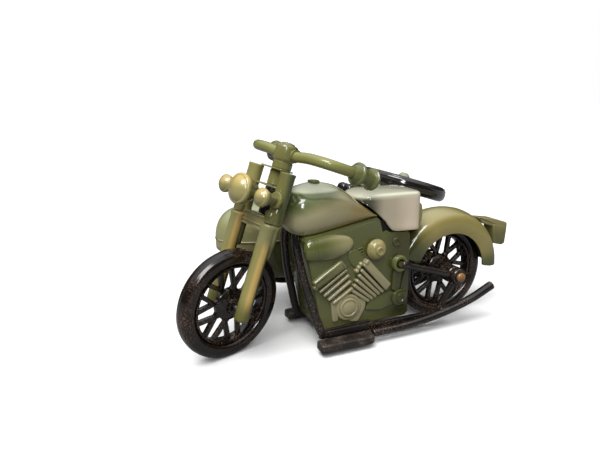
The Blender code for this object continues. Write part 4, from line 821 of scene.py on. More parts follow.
# %% Lamps and their bar
LAMP = [(2.4, 0.0), (3.2, 0.5), (4.2, 2.2), (5.8, 5.4), (7.0, 8.0), (7.7, 9.6), (7.95, 10.8), (7.7, 11.8),
        (7.1, 12.3), (6.6, 12.3), (6.3, 12.6), (5.2, 13.6), (3.6, 14.5), (1.8, 15.0), (0.6, 15.2)]
SPOT = [(1.6, 0.0), (2.1, 0.4), (2.4, 1.8), (3.2, 4.4), (4.1, 6.6), (4.6, 7.9), (4.75, 8.8), (4.5, 9.6), (4.1, 9.9),
        (3.8, 10.1), (2.9, 11.0), (1.7, 11.6), (0.4, 11.9)]
piece("headlamp_button", {lamp_tan: [moved(turned(smooth(LAMP, 3), 48), along_x(-11.8, 0, 59.8, -1.0))]},
      "fork", ["headlamp"], FORK)
for side, sign in SIDES:
    spot = moved(turned(smooth(SPOT, 3), 40), along_x(-11.8, 14.8 * sign, 59.4, -1.0))
    piece("spot_button_" + side, {spot_tan: [spot]}, "fork", ["spot_lamp_" + side], FORK)
bar_shape = np.array([(56.6, -17.2), (56.6, 17.2), (62.0, 17.2), (62.0, -17.2)])
face_on = np.eye(4)
face_on[:3, :3] = [[0, 1, 0], [0, 0, 1], [1, 0, 0]]
lamp_bar = moved(slab(rounded(bar_shape, 1.6), -11.5, -10.35, 0.3), face_on)
nuts = [moved(slab(circle(59.6, 14.8 * sign, 4.4, 8), -11.7, -10.3, 0.3), face_on) for side, sign in SIDES]
piece("lamp_crossbar", {fork_olive: [lamp_bar] + nuts}, "fork", ["lamp_bar"], FORK)
spindle = pipe([(-8.2, -14.4, 0), (-8.2, 14.4, 0)], 1.5, 0.3)
piece("front_spindle", {steel: [spindle]}, "fork", ["front_axle"], FORK)
print("lamps made:", MADE[-1])


# %% [markdown]
# ## The engine casing
# The casing is two moulded halves, and the engine is only cast on their outer faces: an air
# cleaner shaped like a bullet, two finned cylinders in a V, a round cover with rings, bosses and
# webs. Each half is a real shell with a hollow inside, because the clockwork lives there. The
# casting stands a few millimetres proud and is sprayed lighter than the casing behind it.

# %% The two shells
CASE = [(48.6, 10.2), (38.3, 61.6), (39.4, 63.4), (82.0, 70.2), (83.2, 69.0), (85.6, 61.0), (88.6, 62.2), (90.4, 61.2),
        (102.4, 60.4), (103.4, 59.0), (104.0, 12.2), (102.4, 10.2)]
HUMP = [(67.5, 66.2), (82.0, 69.4), (94.0, 69.4), (99.0, 59.6), (97.4, 59.2), (93.0, 67.9), (82.2, 67.9),
        (67.5, 64.6)]
HUMP_SIDE = [(67.5, 58.8), (67.5, 66.2), (82.0, 69.4), (94.0, 69.4), (99.0, 59.6), (98.4, 58.8)]


def mirror(shape, sign):
    """The same shape on the given side: y becomes y times the sign."""
    return moved(shape, np.diag([1.0, sign, 1.0, 1.0]))


def casting(outline, proud, soft=0.5, deep=0.6, base=15.0):
    """Raised plate on the right face, from a little inside it to the given height above it."""
    return slab(outline, base - deep, base + proud, soft)


def bar(start, stop, thick, proud, soft=0.5, **more):
    """Raised straight bar between two points (x, z), with rounded corners."""
    a, b = np.array(start, float), np.array(stop, float)
    way = (b - a) / np.linalg.norm(b - a)
    side = np.array([-way[1], way[0]]) * thick / 2
    return casting(rounded([a - side, b - side, b + side, a + side], thick * 0.35, 3), proud, soft, **more)


def boss(x, z, steps, sides=36):
    """Round stepped boss on the right face: profile (radius, height above the face), turned about Y."""
    return moved(turned([(steps[0][0], -0.6)] + list(steps), sides), about_y(x, 15.0, z) @ np.diag([1, 1, -1, 1.0]))


def engine_casting():
    """Every raised feature of the right face: cream castings, olive casing, near-black painted shade behind the fins.
    """
    cream, plain = [], []
    cream.append(casting(rounded([(41.2, 39.6), (58.8, 50.4), (62.2, 45.6), (44.8, 35.4)], 1.8), 3.4, 1.7))
    cream.append(bar((42.6, 37.2), (45.0, 35.0), 2.4, 2.6, 0.8))
    # Near-black plate behind the front cylinder's fins: painted shade in the gaps.
    deep = [casting([(46.6, 33.6), (62.0, 44.4), (65.6, 33.0), (55.6, 25.6)], 0.8, 0.3)]
    for a, b in (((45.8, 33.6), (62.0, 44.1)), ((48.3, 31.0), (63.4, 41.0)), ((51.0, 28.4), (64.6, 37.4)),
                 ((53.8, 26.0), (65.8, 33.2))):
        cream.append(bar(a, b, 1.55, 2.9, 0.45))
    cream.append(casting(rounded([(71.2, 45.6), (74.7, 48.6), (89.6, 32.4), (86.2, 29.0)], 0.9), 3.9, 0.6))
    cream.append(bar((72.4, 46.4), (74.6, 48.3), 1.8, 4.4, 0.5))
    # Near-black plate behind the rear cylinder's fins: painted shade in the gaps.
    deep.append(casting([(71.4, 44.4), (86.0, 29.4), (76.6, 23.6), (65.8, 32.4)], 1.0, 0.3))
    for k in range(5):
        t = k / 4.0
        a = (70.6 - 5.2 * t, 43.0 - 11.2 * t)
        b = (84.8 - 8.4 * t, 28.0 - 4.4 * t)
        cream.append(bar(a, b, 1.9, 3.4 - 0.9 * t, 0.6))
    for x, z in ((70.9, 46.0), (69.6, 44.2), (68.5, 42.4)):
        cream.append(boss(x, z, [(1.3, 1.2), (1.25, 2.0), (0.8, 2.6), (0.3, 2.8)], 16))
    cream.append(casting(rounded([(53.0, 26.6), (58.2, 27.4), (57.6, 15.0), (54.4, 14.6)], 1.2), 1.6))
    cream.append(casting(rounded([(69.0, 26.6), (74.8, 25.0), (74.6, 20.0), (70.0, 12.4), (64.6, 13.4)], 1.2), 1.6))
    cream.append(boss(63.7, 22.1, [(7.6, 1.2), (7.5, 1.9), (6.9, 2.3), (6.2, 2.3), (6.0, 2.0), (5.6, 2.1), (5.4, 2.9),
                                   (4.9, 3.2), (4.3, 3.1), (4.1, 2.8), (3.7, 3.0), (2.6, 3.4), (0.5, 3.5)], 56))
    plain.append(casting(rounded([(65.2, 54.6), (70.2, 54.0), (74.4, 47.4), (70.4, 41.6), (65.4, 45.8), (62.6, 50.6)],
                                 2.4), 1.1, 0.6))
    for k in range(4):
        x, z = 70.6 + 0.5 * k, 54.6 - 1.7 * k
        plain.append(bar((x - 1.4, z - 0.5), (x + 1.6, z + 0.5), 0.9, 1.3 - 0.1 * k, 0.4))
    plain.append(boss(95.7, 43.1, [(5.3, 0.3), (5.2, 0.3)], 40))
    plain.append(casting(rounded([(92.6, 41.0), (98.8, 41.0), (97.2, 26.0), (91.6, 27.0)], 1.6), 1.7, 1.2))
    plain.append(bar((98.6, 27.0), (101.2, 39.0), 1.6, 0.9, 0.4))
    plain.append(casting(rounded([(74.6, 18.2), (77.6, 25.0), (90.8, 27.0), (95.0, 26.0), (94.0, 18.6), (84.0, 16.4)],
                                 1.6), 1.3, 0.7))
    plain.append(boss(96.9, 22.4, [(5.2, 1.5), (5.1, 2.2), (4.5, 2.7), (2.9, 2.8), (2.7, 3.4), (2.2, 3.7), (1.7, 3.7),
                                   (1.4, 3.2), (0.4, 3.1)], 40))
    plain.append(boss(94.3, 55.4, [(2.6, 0.4), (2.4, 0.7), (1.5, 0.7), (1.3, 0.3), (0.4, 0.2)], 28))
    plain.append(casting(rounded([(39.6, 62.4), (81.4, 69.2), (84.0, 60.8), (84.6, 52.0), (78.0, 44.0), (66.0, 46.0),
                                  (44.0, 34.0)], 2.0), 0.35, 0.3))
    return cream, plain, deep


def air_cleaner():
    """Bullet turned about X, its far end blunt, with three ring bands; squeezed to 0.58 across Y."""
    profile = smooth([(0.6, -0.2), (3.4, 0.2), (5.0, 1.3), (5.8, 3.2), (6.1, 4.6)], 4)
    bands = np.array([(5.9, 4.9), (5.9, 5.4), (6.25, 5.6), (6.25, 6.3), (6.0, 6.5), (6.0, 7.1), (6.4, 7.3)])
    back = smooth([(6.55, 9.0), (6.8, 12.0), (6.75, 15.5), (6.3, 19.0), (5.4, 22.4), (4.4, 25.2), (3.3, 27.0),
                   (2.0, 28.2), (0.6, 28.6)], 5)
    shape = turned(np.vstack([profile, bands, back]), 48)
    lean = along((38.0, 15.0, 56.2), (66.0, 15.0, 58.2))
    return moved(shape, lean @ np.diag([1.0, 0.58, 1.0, 1.0]))


CREAM, PLAIN, FIN_GAP_SHADES = engine_casting()
pin = moved(turned([(1.8, -0.6), (1.8, 3.9), (1.3, 4.2)], 24), about_y(95.7, 15.0, 43.1) @ np.diag([1, 1, -1, 1.0]))
case_stops = [(0.6, 15.0), (0.15, 14.85), (0.0, 14.4), (0.0, 0.15), (1.5, 0.15), (1.5, 13.5)]
for side, sign in SIDES:
    shells = [flat(CASE, case_stops)] + PLAIN
    hump = [slab(HUMP, 0.15, 12.6, 0.3), slab(HUMP_SIDE, 11.4, 12.6, 0.3)]
    parts = {case_fade: shells + [pin], cast_cream: CREAM, fin_gap_shade: FIN_GAP_SHADES, cleaner_olive: [air_cleaner()],
             shadow_black: hump}
    parts = {material: [mirror(shape, sign) for shape in shapes] for material, shapes in parts.items()}
    piece("engine_case_" + side, parts, "chassis", ["casing_" + side])
print("casing faces:", MADE[-1][1])

KNOB = [(1.2, 0.0), (5.4, 0.0), (5.8, 0.5), (5.8, 1.5), (5.5, 2.1), (5.3, 2.2), (4.9, 3.1), (3.9, 4.1), (2.9, 4.5),
        (2.6, 4.5), (2.5, 5.3), (2.2, 5.7), (1.6, 5.7), (1.4, 5.2), (0.4, 5.1)]
knob = moved(turned(KNOB, 48), about_y(80.0, -16.3, 53.4))
piece("winder_button", {knob_tan: [knob]}, "winder", ["winding_knob"])


# %% [markdown]
# ## Tank, saddle and mudguard
# The tank is a teardrop with a soft crease between its flat top and bulging sides. It is a grid of
# cross-sections: a few listed points at nine places along it, joined by smooth curves both
# across and along. The saddle is one hollow moulding with deep skirts, laid out as a plan outline
# carried up from a slanting hem to a crowned top.

# %% Tank and filler cap
# station: x, then (y, z) of ridge, crease, upper side, bulge, lower side and bottom edge
TANK = [
    (29.8, (0, 76.5), (1.6, 76.2), (3.6, 75.0), (4.6, 72.6), (3.8, 70.2), (1.8, 69.2)),
    (32.0, (0, 82.8), (5.6, 81.6), (9.6, 78.8), (11.0, 74.0), (10.0, 69.0), (6.6, 66.4)),
    (36.0, (0, 87.2), (7.4, 85.6), (12.4, 81.8), (14.4, 75.0), (13.4, 68.2), (10.0, 64.4)),
    (42.0, (0, 89.5), (8.1, 87.2), (13.8, 83.2), (16.2, 76.0), (15.4, 68.8), (12.4, 64.3)),
    (50.0, (0, 90.2), (8.0, 87.8), (14.0, 84.0), (16.7, 77.0), (16.0, 70.0), (13.0, 65.5)),
    (60.0, (0, 88.3), (7.6, 86.2), (13.4, 82.6), (16.2, 77.0), (15.8, 71.3), (13.0, 67.1)),
    (68.0, (0, 84.2), (7.2, 82.6), (12.6, 80.0), (15.3, 76.0), (15.2, 71.8), (12.8, 68.5)),
    (76.0, (0, 77.6), (7.0, 76.8), (12.0, 75.6), (14.2, 73.6), (14.2, 71.5), (12.6, 69.9)),
    (82.2, (0, 72.2), (6.6, 72.0), (11.4, 71.7), (13.2, 71.3), (13.2, 70.9), (12.0, 70.7)),
]


def tank_skin():
    """Rings from both halves of each section; the crease is a plain corner, the rest smooth curves."""
    half = np.array([[(0.0, 0.0)] + list(row[1:]) for row in TANK])[:, 1:]
    x = np.array([row[0] for row in TANK])
    top = smooth(half[:, :2].transpose(1, 0, 2), 4).transpose(1, 0, 2)[:, :-1]
    flank = smooth(half[:, 1:].transpose(1, 0, 2), 6).transpose(1, 0, 2)
    section = np.concatenate([top, flank], axis=1)
    stations = smooth(np.concatenate([np.repeat(x[:, None, None], section.shape[1], 1), section], axis=2), 6)
    left = stations * np.array([1, -1, 1])
    return skin(np.concatenate([stations, left[:, :0:-1]], axis=1))


piece("tank_shell", {tank_fade: [tank_skin()]}, "chassis", ["fuel_tank"], crease=60)
CAP = [(2.0, -0.4), (3.1, -0.3), (3.3, 0.4), (3.1, 0.9), (2.6, 1.0), (2.4, 0.7), (1.9, 0.7), (1.7, 1.1), (0.3, 1.3)]
cap_seat = along((50.0, 0.0, 90.0), (50.1, 0.0, 92.0))
piece("filler_cap", {olive: [moved(turned(CAP, 36), cap_seat)]}, "chassis", ["fuel_cap"])
print("tank faces:", MADE[-2][1])


# %% Saddle
HEM = ([72.0, 74.0, 81.2, 87.1, 89.6, 91.8, 95.0, 112.0], [80.4, 79.0, 73.0, 67.6, 64.2, 62.2, 61.4, 60.9])


def saddle_skin():
    """Outer wall from hem(x) up to roof(x, y), a fillet, then a crown that rises as 1 - r^2 to the middle."""
    plan = rounded([(72.2, -6.0), (72.2, 6.0), (76.6, 14.4), (111.6, 14.4), (111.6, -14.4), (76.6, -14.4)], 5.5, 8)
    plan = evenly(plan, 128)
    out = stand_off(plan)
    middle = np.array([90.0, 0.0])

    def roof(place):
        front = np.maximum(0.0, 84.0 - place[:, 0])
        crown = 0.9 * np.cos((place[:, 0] - 88.0) / 26.0) - 0.5 * (place[:, 1] / 14.4) ** 2
        return 82.3 + crown - 0.014 * front ** 2

    def ring(inset, lift, shrink=1.0):
        place = middle + (plan - out * inset - middle) * shrink
        return np.column_stack([place, roof(place) + lift])

    def wall(inset, part):
        hem = np.interp(plan[:, 0], *HEM)
        top = np.maximum(roof(plan) - 1.6, hem + 0.1)
        return np.column_stack([plan - out * inset, hem + (top - hem) * part])

    rows = [ring(1.3, -1.3, shrink) for shrink in (0.3, 0.7, 1.0)]
    rows += [wall(inset, part) for inset, part in ((1.3, 0.9), (1.3, 0.5), (1.2, 0.02), (0.6, -0.01), (0.1, 0.0))]
    rows += [wall(-0.25, 0.06)] + [wall(0.0, part) for part in (0.14, 0.4, 0.7, 0.9, 1.0)]
    rows += [ring(0.25, -0.75), ring(0.9, -0.25), ring(1.8, 0.0)]
    rows += [ring(1.8, 0.5 * (1 - shrink * shrink), shrink) for shrink in (0.85, 0.65, 0.4, 0.15)]
    return skin(np.array(rows))


STEP = [(109.0, 62.0), (109.0, 77.0), (113.2, 75.0), (114.2, 70.0), (113.4, 63.0)]
step = slab(rounded(STEP, 1.4), -11.6, 11.6, 1.2)
piece("saddle_moulding", {saddle_silver: [saddle_skin()], tail_olive: [step]}, "chassis", ["saddle"],
      crease=50)
print("saddle faces:", MADE[-1][1])


# %% [markdown]
# A mudguard is a channel carried round its wheel: the same closed section stands on every ray from
# the hub. The section has a bright crease between side wall and crown. Its rear end is cut round.

# %% Mudguards and tail lamp
def guard(section, x, y, first, last, thick=1.2, steps=72, round_end=2.0, wall=-99.0):
    """Channel (x + r cos a, y + w, z + r sin a); its section is a line and the same line set inward."""
    outer = np.array(section, float)
    outer = np.vstack([outer, (outer * [1, -1])[-2::-1]])
    way = np.gradient(outer, axis=0)
    way /= np.linalg.norm(way, axis=1)[:, None]
    inner = outer - thick * np.stack([way[:, 1], -way[:, 0]], 1) * np.sign(outer[0, 1] * 1.0)
    loop = np.vstack([outer, inner[::-1]])
    angle = np.linspace(first, last, steps)
    over = np.clip((outer[:, 0].max() - 3.0 - loop[:, 0]) / 9.0, 0.0, 1.0)
    tail = round_end * (1 - np.sqrt(1 - over ** 2)) / 34.0
    share = np.clip((angle - first) / (last - first), 0.0, 1.0)
    turn = angle[:, None] + tail[None] * (1 - share[:, None]) ** 3
    rows = np.stack([np.maximum(x + loop[:, 0] * np.cos(turn), wall), y + loop[:, 1] + 0 * turn,
                     30.0 + loop[:, 0] * np.sin(turn)], axis=-1)
    return skin(rows, "face")


REAR_SECTION = [(25.0, 10.9), (26.5, 11.2), (30.0, 11.3), (33.0, 10.9), (34.6, 10.2), (35.3, 9.5), (35.8, 8.4),
                (36.6, 6.0), (37.3, 3.0), (37.6, 0.0)]
rear_guard = guard(REAR_SECTION, REAR_AXLE[0], 0.0, radians(1.0), radians(158.0), wall=104.35)
piece("rear_mudguard", {fender_fade: [rear_guard]}, "chassis", ["rear_fender"])
CAR_SECTION = [(30.8, 6.4), (32.2, 6.2), (33.4, 5.4), (34.1, 4.0), (34.5, 0.0)]
car_guard = guard(CAR_SECTION, CAR_WHEEL_X, CAR_Y + 30.5, radians(12), radians(168), 0.9)
piece("sidecar_mudguard", {olive: [car_guard]}, "chassis", ["sidecar_fender"])
ARM = [(162.6, 60.4), (166.0, 56.4), (174.6, 53.2), (186.4, 50.4), (186.6, 54.8), (175.0, 58.6)]
LAMP_BOX = [(174.4, 55.0), (186.0, 52.6), (185.2, 41.4), (182.6, 40.4), (175.2, 42.4)]
arm = slab(rounded(ARM, 1.2), -4.0, 4.0, 0.6)
lamp_box = slab(rounded(LAMP_BOX, 1.0), -4.6, 4.6, 0.6)
lens = slab(rounded([(185.0, 43.6), (186.4, 43.8), (187.0, 51.0), (185.6, 51.2)], 0.5), -3.4, 3.4, 0.4)
piece("tail_lamp_box", {tail_olive: [arm, lamp_box, lens]}, "chassis", ["tail_lamp"])
print("mudguards:", MADE[-3:-1])


# %% [markdown]
# ## Black running gear
# A cradle tube comes down each side of the casing to a low rail. Footboards lie outside the rails,
# and a pipe runs back from each board and turns up at its end. A stay holds each axle cup from the
# boss on the casing. All are black mouldings; the boards have the most brown dry-brushing.

# %% Cradles, boards and pipes
for side, sign in SIDES:
    route = smooth([(41.6, 5.2, 70.4), (36.2, 7.4, 63.0), (38.0, 11.0, 45.0), (42.6, 14.0, 26.0), (45.6, 16.4, 15.0),
                    (47.4, 17.0, 9.6)], 6)
    rail = slab(rounded([(46.0, 6.6), (46.4, 10.4), (79.0, 11.2), (80.6, 9.8), (126.0, 10.2), (126.4, 7.4),
                         (80.0, 5.4), (78.6, 6.8)], 0.8), 15.4, 18.2, 0.45)
    brow = slab(rounded([(49.0, 10.2), (49.0, 11.3), (77.6, 12.1), (77.6, 10.8)], 0.4), 15.5, 17.0, 0.3)
    rivets = [moved(turned([(1.0, -0.3), (1.0, 0.3), (0.6, 0.6), (0.2, 0.7)], 14),
                    about_y(x, 18.2, 7.9) @ np.diag([1, 1, -1, 1.0])) for x in (90.0, 108.0, 122.0)]
    cradle = [mirror(shape, sign) for shape in [pipe(route, 2.3, 0.6, up=(0, 1, 0)), rail, brow] + rivets]
    piece("cradle_" + side, {black_gloss: cradle}, "chassis", ["frame_cradle_" + side])
    board = rounded([(43.2, 19.2), (42.8, 26.6), (45.0, 27.4), (73.6, 27.6), (75.4, 26.2), (76.8, 19.0)], 1.4)
    treads = [lying(slab(rounded([(x, 20.6), (x + 0.9, 20.6), (x + 0.9, 26.0), (x, 26.0)], 0.4), 7.2, 7.75, 0.25))
              for x in np.arange(45.6, 73.0, 2.4)]
    shapes = [lying(slab(board, 3.0, 7.5, 0.9))] + treads
    piece("board_" + side, {board_speckle: [mirror(shape, sign) for shape in shapes]}, "chassis",
          ["footboard_" + side])
    tail = smooth([(76.6, 21.6, 6.5), (96.0, 21.6, 6.8), (116.0, 21.6, 8.8), (132.0, 21.6, 12.0),
                   (146.0, 21.6, 16.0), (160.4, 21.6, 22.2)], 6)
    piece("pipe_" + side, {black_gloss: [mirror(pipe(tail, np.linspace(2.2, 2.6, len(tail)), 0.6), sign)]}, "chassis",
          ["exhaust_" + side])
print("running gear:", MADE[-3:])


# %% Stays, axle cups and the rear axle
for side, sign in SIDES:
    eye = moved(turned([(2.5, 0.4), (4.3, 0.4), (4.9, 0.9), (4.9, 2.8), (4.4, 3.5), (3.4, 3.7), (2.7, 3.3)], 40,
                       closed=True), about_y(95.7, 15.0, 43.1) @ np.diag([1, 1, -1, 1.0]))
    rod_line = [(96.6, 17.6, 42.8), (98.4, 17.8, 42.2), (101.0, 17.6, 41.2), (114.0, 17.3, 37.2),
                (130.6, 17.0, 31.8)]
    rod = pipe(rod_line, [2.3, 2.5, 1.9, 2.0, 2.2], 0.9)
    piece("stay_" + side, {olive: [mirror(eye, sign)], black_gloss: [mirror(rod, sign)]}, "chassis",
          ["rear_stay_" + side])
    inner = 7.2 if sign < 0 else 13.6
    cup = moved(turned([(1.75, inner), (4.6, inner), (5.3, inner + 0.6), (5.4, 15.8), (5.0, 16.3), (4.9, 17.4),
                        (5.1, 17.9), (5.1, 19.8), (4.6, 20.5), (1.75, 20.6)], 40, closed=True),
                about_y(136.3, 0.0, 30.0) @ np.diag([1, 1, -1, 1.0]))
    strut = pipe([(134.2, 17.0, 26.2), (129.0, 17.0, 18.0), (125.6, 17.0, 10.6)], [2.2, 1.9, 2.4], 0.5)
    piece("axle_cup_" + side, {black_gloss: [mirror(cup, sign), mirror(strut, sign)]}, "chassis",
          ["axle_housing_" + side])
caps = []
for side, sign in SIDES:
    cap = moved(turned([(1.5, 20.9), (2.8, 20.9), (3.0, 21.3), (2.9, 22.0), (2.3, 22.6), (1.2, 22.9), (0.3, 22.95)], 36),
                about_y(136.3, 0.0, 30.0) @ np.diag([1, 1, -1, 1.0]))
    caps.append(mirror(cap, sign))
shaft = pipe([(136.3, -21.4, 30.0), (136.3, 21.4, 30.0)], 1.5, 0.2)
piece("axle_and_caps", {copper: caps, steel: [shaft]}, "rear_wheel_set", ["rear_axle"])
print("rear axle:", MADE[-1])


# %% [markdown]
# ## The sidecar
# Seen from the left only its nose and its spare wheel show, but it is finished all round. The body
# is a boat-shaped tub below a joint line and a domed cowl above it, with an oval cockpit. In plan,
# both are rays from the cockpit's middle out to the boat's outline, and their height is a function
# of where the ray point stands, so that the cockpit's edge falls exactly on one row of the grid.

# %% Body of the sidecar
BELT = 51.5
NOSE, STERN = 7.0, 153.0


def car_half(x):
    """Half width: 20 (1-(1-min(t/.26,1))^2.2)^.55, less a taper after t = .62."""
    t = np.clip((x - NOSE) / (STERN - NOSE), 0.0, 1.0)
    swell = (1.0 - (1.0 - np.minimum(t / 0.26, 1.0)) ** 2.2) ** 0.55
    return np.maximum(20.0 * swell * (1.0 - 0.55 * np.maximum(0.0, (t - 0.62) / 0.38) ** 1.8), 0.02)


def car_top(x):
    """Ridge height above the joint line: a rounded nose, a slow rise to the cockpit and a fall to the stern."""
    t = np.clip((x - NOSE) / (STERN - NOSE), 0.0, 1.0)
    nose = (1.0 - (1.0 - np.minimum(t / 0.12, 1.0)) ** 2.4) ** 0.5
    rise = 18.0 * nose + 8.4 * np.clip((t - 0.10) / 0.42, 0.0, 1.0)
    stern = np.sqrt(np.clip(1.0 - np.clip((x - 147.0) / 6.0, 0.0, 1.0) ** 2, 0.0, 1.0))
    return (rise - 14.0 * np.maximum(0.0, (t - 0.68) / 0.32) ** 1.1) * stern


def car_keel(x):
    """Depth of the tub's keel below the joint line."""
    t = np.clip((x - NOSE) / (STERN - NOSE), 0.0, 1.0)
    keel = 22.0 + 24.0 * (1.0 - np.minimum(t / 0.30, 1.0)) ** 2.0 + 16.0 * np.maximum(0.0, (t - 0.66) / 0.34) ** 1.5
    stern = np.sqrt(np.clip(1.0 - np.clip((x - 147.0) / 6.0, 0.0, 1.0) ** 2, 0.0, 1.0))
    return (BELT - keel) * stern


def across(x, y, power):
    """Falling share (1 - (y / half width)^2)^power of a height across the body."""
    return np.clip(1.0 - (y / car_half(x)) ** 2, 0.0, 1.0) ** power


t = np.linspace(0.0, pi, 64)
hull_x = NOSE + (STERN - NOSE) * (1 - np.cos(t)) / 2
hull_y = car_half(hull_x)
hull_y[0] = 0.02
plan = np.concatenate([np.stack([hull_x, hull_y], 1), np.stack([hull_x, -hull_y], 1)[::-1]])
cockpit_middle = np.array([92.0, 0.0])
ray = np.arctan2(plan[:, 1] / 15.0, (plan[:, 0] - cockpit_middle[0]) / 16.0)
rim = cockpit_middle + np.stack([16.0 * np.cos(ray), 15.0 * np.sin(ray)], 1)


def cowl_row(share, down=0.0):
    """Row of the cowl: point rim (1 - s) + outline s, height from the ridge times across() to the power .31."""
    place = rim * (1 - share) + plan * share
    grow = 1.0 - down / 30.0
    z = BELT + 0.3 + car_top(place[:, 0]) * across(place[:, 0], place[:, 1], 0.31) - down
    return np.column_stack([place[:, 0], place[:, 1] * grow + CAR_Y, np.maximum(z, BELT + 0.3)])


lip = [cowl_row(s) + np.array([0, 0, lift]) for s, lift in ((0.03, 0.0), (0.015, 0.7), (0.0, 0.9), (-0.02, 0.5))]
out_shares = 1 - np.linspace(0.0, 1.0, 30)[:-1] ** 2.2
cowl_rows = [cowl_row(s) for s in out_shares if s > 0.04] + lip
cowl_rows += [cowl_row(s, 1.3) for s in (-0.02, 0.0, 0.3, 0.6, 0.8, 0.9, 0.96)]
piece("cowl_shell", {car_sage: [skin(np.array(cowl_rows), ring_of_rings=True)]}, "chassis", ["sidecar_cowl"],
      crease=50)


def tub_row(share, up=0.0):
    """Row of the tub: plan point shrunk to the middle, depth from the keel times across() to the power .36."""
    place = cockpit_middle + (plan - cockpit_middle) * share
    z = BELT - 0.3 - car_keel(place[:, 0]) * across(place[:, 0], place[:, 1], 0.36) + up
    return np.column_stack([place[:, 0], place[:, 1] + CAR_Y, np.minimum(z, BELT - 0.3)])


shares = 1 - np.linspace(0.0, 1.0, 28)[:-1] ** 2.2
tub_rows = [tub_row(s, 1.4) for s in (0.05, 0.3, 0.6, 0.8, 0.9, 0.96)] + [tub_row(s) for s in shares if s > 0.04]
bead = [pipe(np.column_stack([hull_x, sign * (hull_y + 0.1) + CAR_Y, np.full(64, BELT)])[2:-1], 0.5, 0.2, 10,
             stations=60) for side, sign in SIDES]
piece("tub_shell", {car_olive: [skin(np.array(tub_rows))], car_sage: bead}, "chassis", ["sidecar_tub"],
      crease=50)
print("sidecar body:", MADE[-2:])


# %% Seat, carrying frame and spare wheel
SQUAB = [(78.4, 38.4), (78.4, 44.6), (92.6, 46.4), (93.2, 38.4)]
BACK = [(90.4, 40.0), (93.8, 75.0), (95.4, 78.2), (99.8, 78.2), (100.5, 75.0), (100.5, 40.0)]
LANES = (-12.0, -3.95, 4.1)
squab = [slab(rounded(SQUAB, 2.2), CAR_Y + low, CAR_Y + low + 7.9, 1.6) for low in LANES]
back = [slab(rounded(BACK, 1.8), CAR_Y + low, CAR_Y + low + 7.9, 1.6) for low in LANES]
piece("seat_cushions", {plain_black: squab + back}, "chassis", ["sidecar_seat"])
low = 18.6
tubes = [pipe(smooth([(44.0, CAR_Y, low + 2.0), (60.0, CAR_Y, low), (134.0, CAR_Y, low)], 8), 2.2, 0.8),
         pipe([(62.0, 18.2, low), (62.0, CAR_Y + 10, low)], 2.0, 0.5),
         pipe([(100.0, 18.2, low), (100.0, CAR_Y + 10, low)], 2.0, 0.5),
         pipe([(CAR_WHEEL_X, CAR_Y - 10, low), (CAR_WHEEL_X, 69.0, low)], 2.0, 0.5),
         pipe([(CAR_WHEEL_X, 68.2, low - 2.0), (CAR_WHEEL_X, 68.2, 32.6)], 2.4, 0.8, up=(1, 0, 0)),
         pipe([(CAR_WHEEL_X, 68.2, 30.0), (CAR_WHEEL_X, CAR_Y + 36.4, 30.0)], 1.5, 0.4)]
piece("carrying_frame", {black_gloss: tubes}, "chassis", ["sidecar_frame"])
tilt = radians(17.5)
lean = np.eye(4)
lean[:3, :3] = [[np.cos(tilt), 0, np.sin(tilt)], [0, 1, 0], [-np.sin(tilt), 0, np.cos(tilt)]]
lean[:3, 3] = (138.4, CAR_Y, 75.7)
spare = tyre_ring(30.0, 9.6, 8.0, lean)
DISC = [(24.0, -1.4), (24.6, -0.8), (24.6, 0.8), (24.0, 1.4), (14.0, 1.1), (6.0, 1.4), (2.0, 1.3)]
disc = moved(turned(DISC, 72), lean)
post = moved(turned([(2.0, -6.3), (2.8, -6.2), (3.0, -5.7), (3.0, -0.6), (2.0, -0.4)], 32), lean)
piece("spare_tyre", {plain_black: [spare, disc, post]}, "chassis", ["spare_wheel"])
HUB = [(5.4, 1.5), (5.5, 2.0), (5.0, 3.6), (4.0, 5.4), (3.2, 6.6), (2.2, 7.6), (0.6, 7.9)]
piece("spare_hub_bump", {spare_sage: [moved(turned(smooth(HUB, 3), 40), lean)]}, "chassis", ["spare_knob"])
print("sidecar pieces:", MADE[-4:])


# %% [markdown]
# ## What the casing hides
# The clockwork stays as the working model made it, because its teeth and pivots are already right.
# It gets real finishes: cut brass for the wheels, pressed steel for plates, arbor and spring.

# %% Finishes for the parts that stay
KEPT = {"headstock": black_gloss, "motor_plate_left": steel, "motor_plate_right": steel, "mainspring": steel,
        "winding_arbor": steel, "great_wheel": brass, "second_wheel": brass, "output_shaft": brass,
        "rear_pulley": brass, "drive_belt": belt}
for node, material in KEPT.items():
    slots = frame["nodes"][node].data.materials
    slots.clear()
    slots.append(material)
shown = [name for name, node in frame["nodes"].items() if not node.hide_render]
print("still shown from the model:", sorted(shown), "without a finish:", sorted(set(shown) - set(KEPT)))


# %% [markdown]
# ## Floor, light and camera
# The toy stands on a plain white floor under a broad soft sun from the front left, with a small
# window of light for the sharp highlights in the varnish. The sky is dark low down and bright
# overhead, so that black paint stays black and only its upper edges shine. The camera stands low on
# the left, ahead of the front wheel.

# %% Stage
floor_mesh = bpy.data.meshes.new("floor")
FLOOR_HALF, FLOOR_Z = 6.0, -0.0001
corners = [(FLOOR_HALF * x, FLOOR_HALF * y, FLOOR_Z) for x, y in ((-1, -1), (1, -1), (1, 1), (-1, 1))]
floor_mesh.from_pydata(corners, [], [(0, 1, 2, 3)])
floor = bpy.data.objects.new("floor", floor_mesh)
bpy.context.scene.collection.objects.link(floor)
white = bpy.data.materials.new("studio_white")
white.use_nodes = True
paper = white.node_tree.nodes["Principled BSDF"]
paper.inputs["Roughness"].default_value = 0.9
paper.inputs["Specular IOR Level"].default_value = 0.1
seen = white.node_tree.nodes.new("ShaderNodeLightPath")
tone = white.node_tree.nodes.new("ShaderNodeMix")
tone.data_type = "RGBA"
tone.inputs[6].default_value = (0.20, 0.20, 0.20, 1.0)
tone.inputs[7].default_value = (0.92, 0.92, 0.92, 1.0)
white.node_tree.links.new(seen.outputs["Is Camera Ray"], tone.inputs["Factor"])
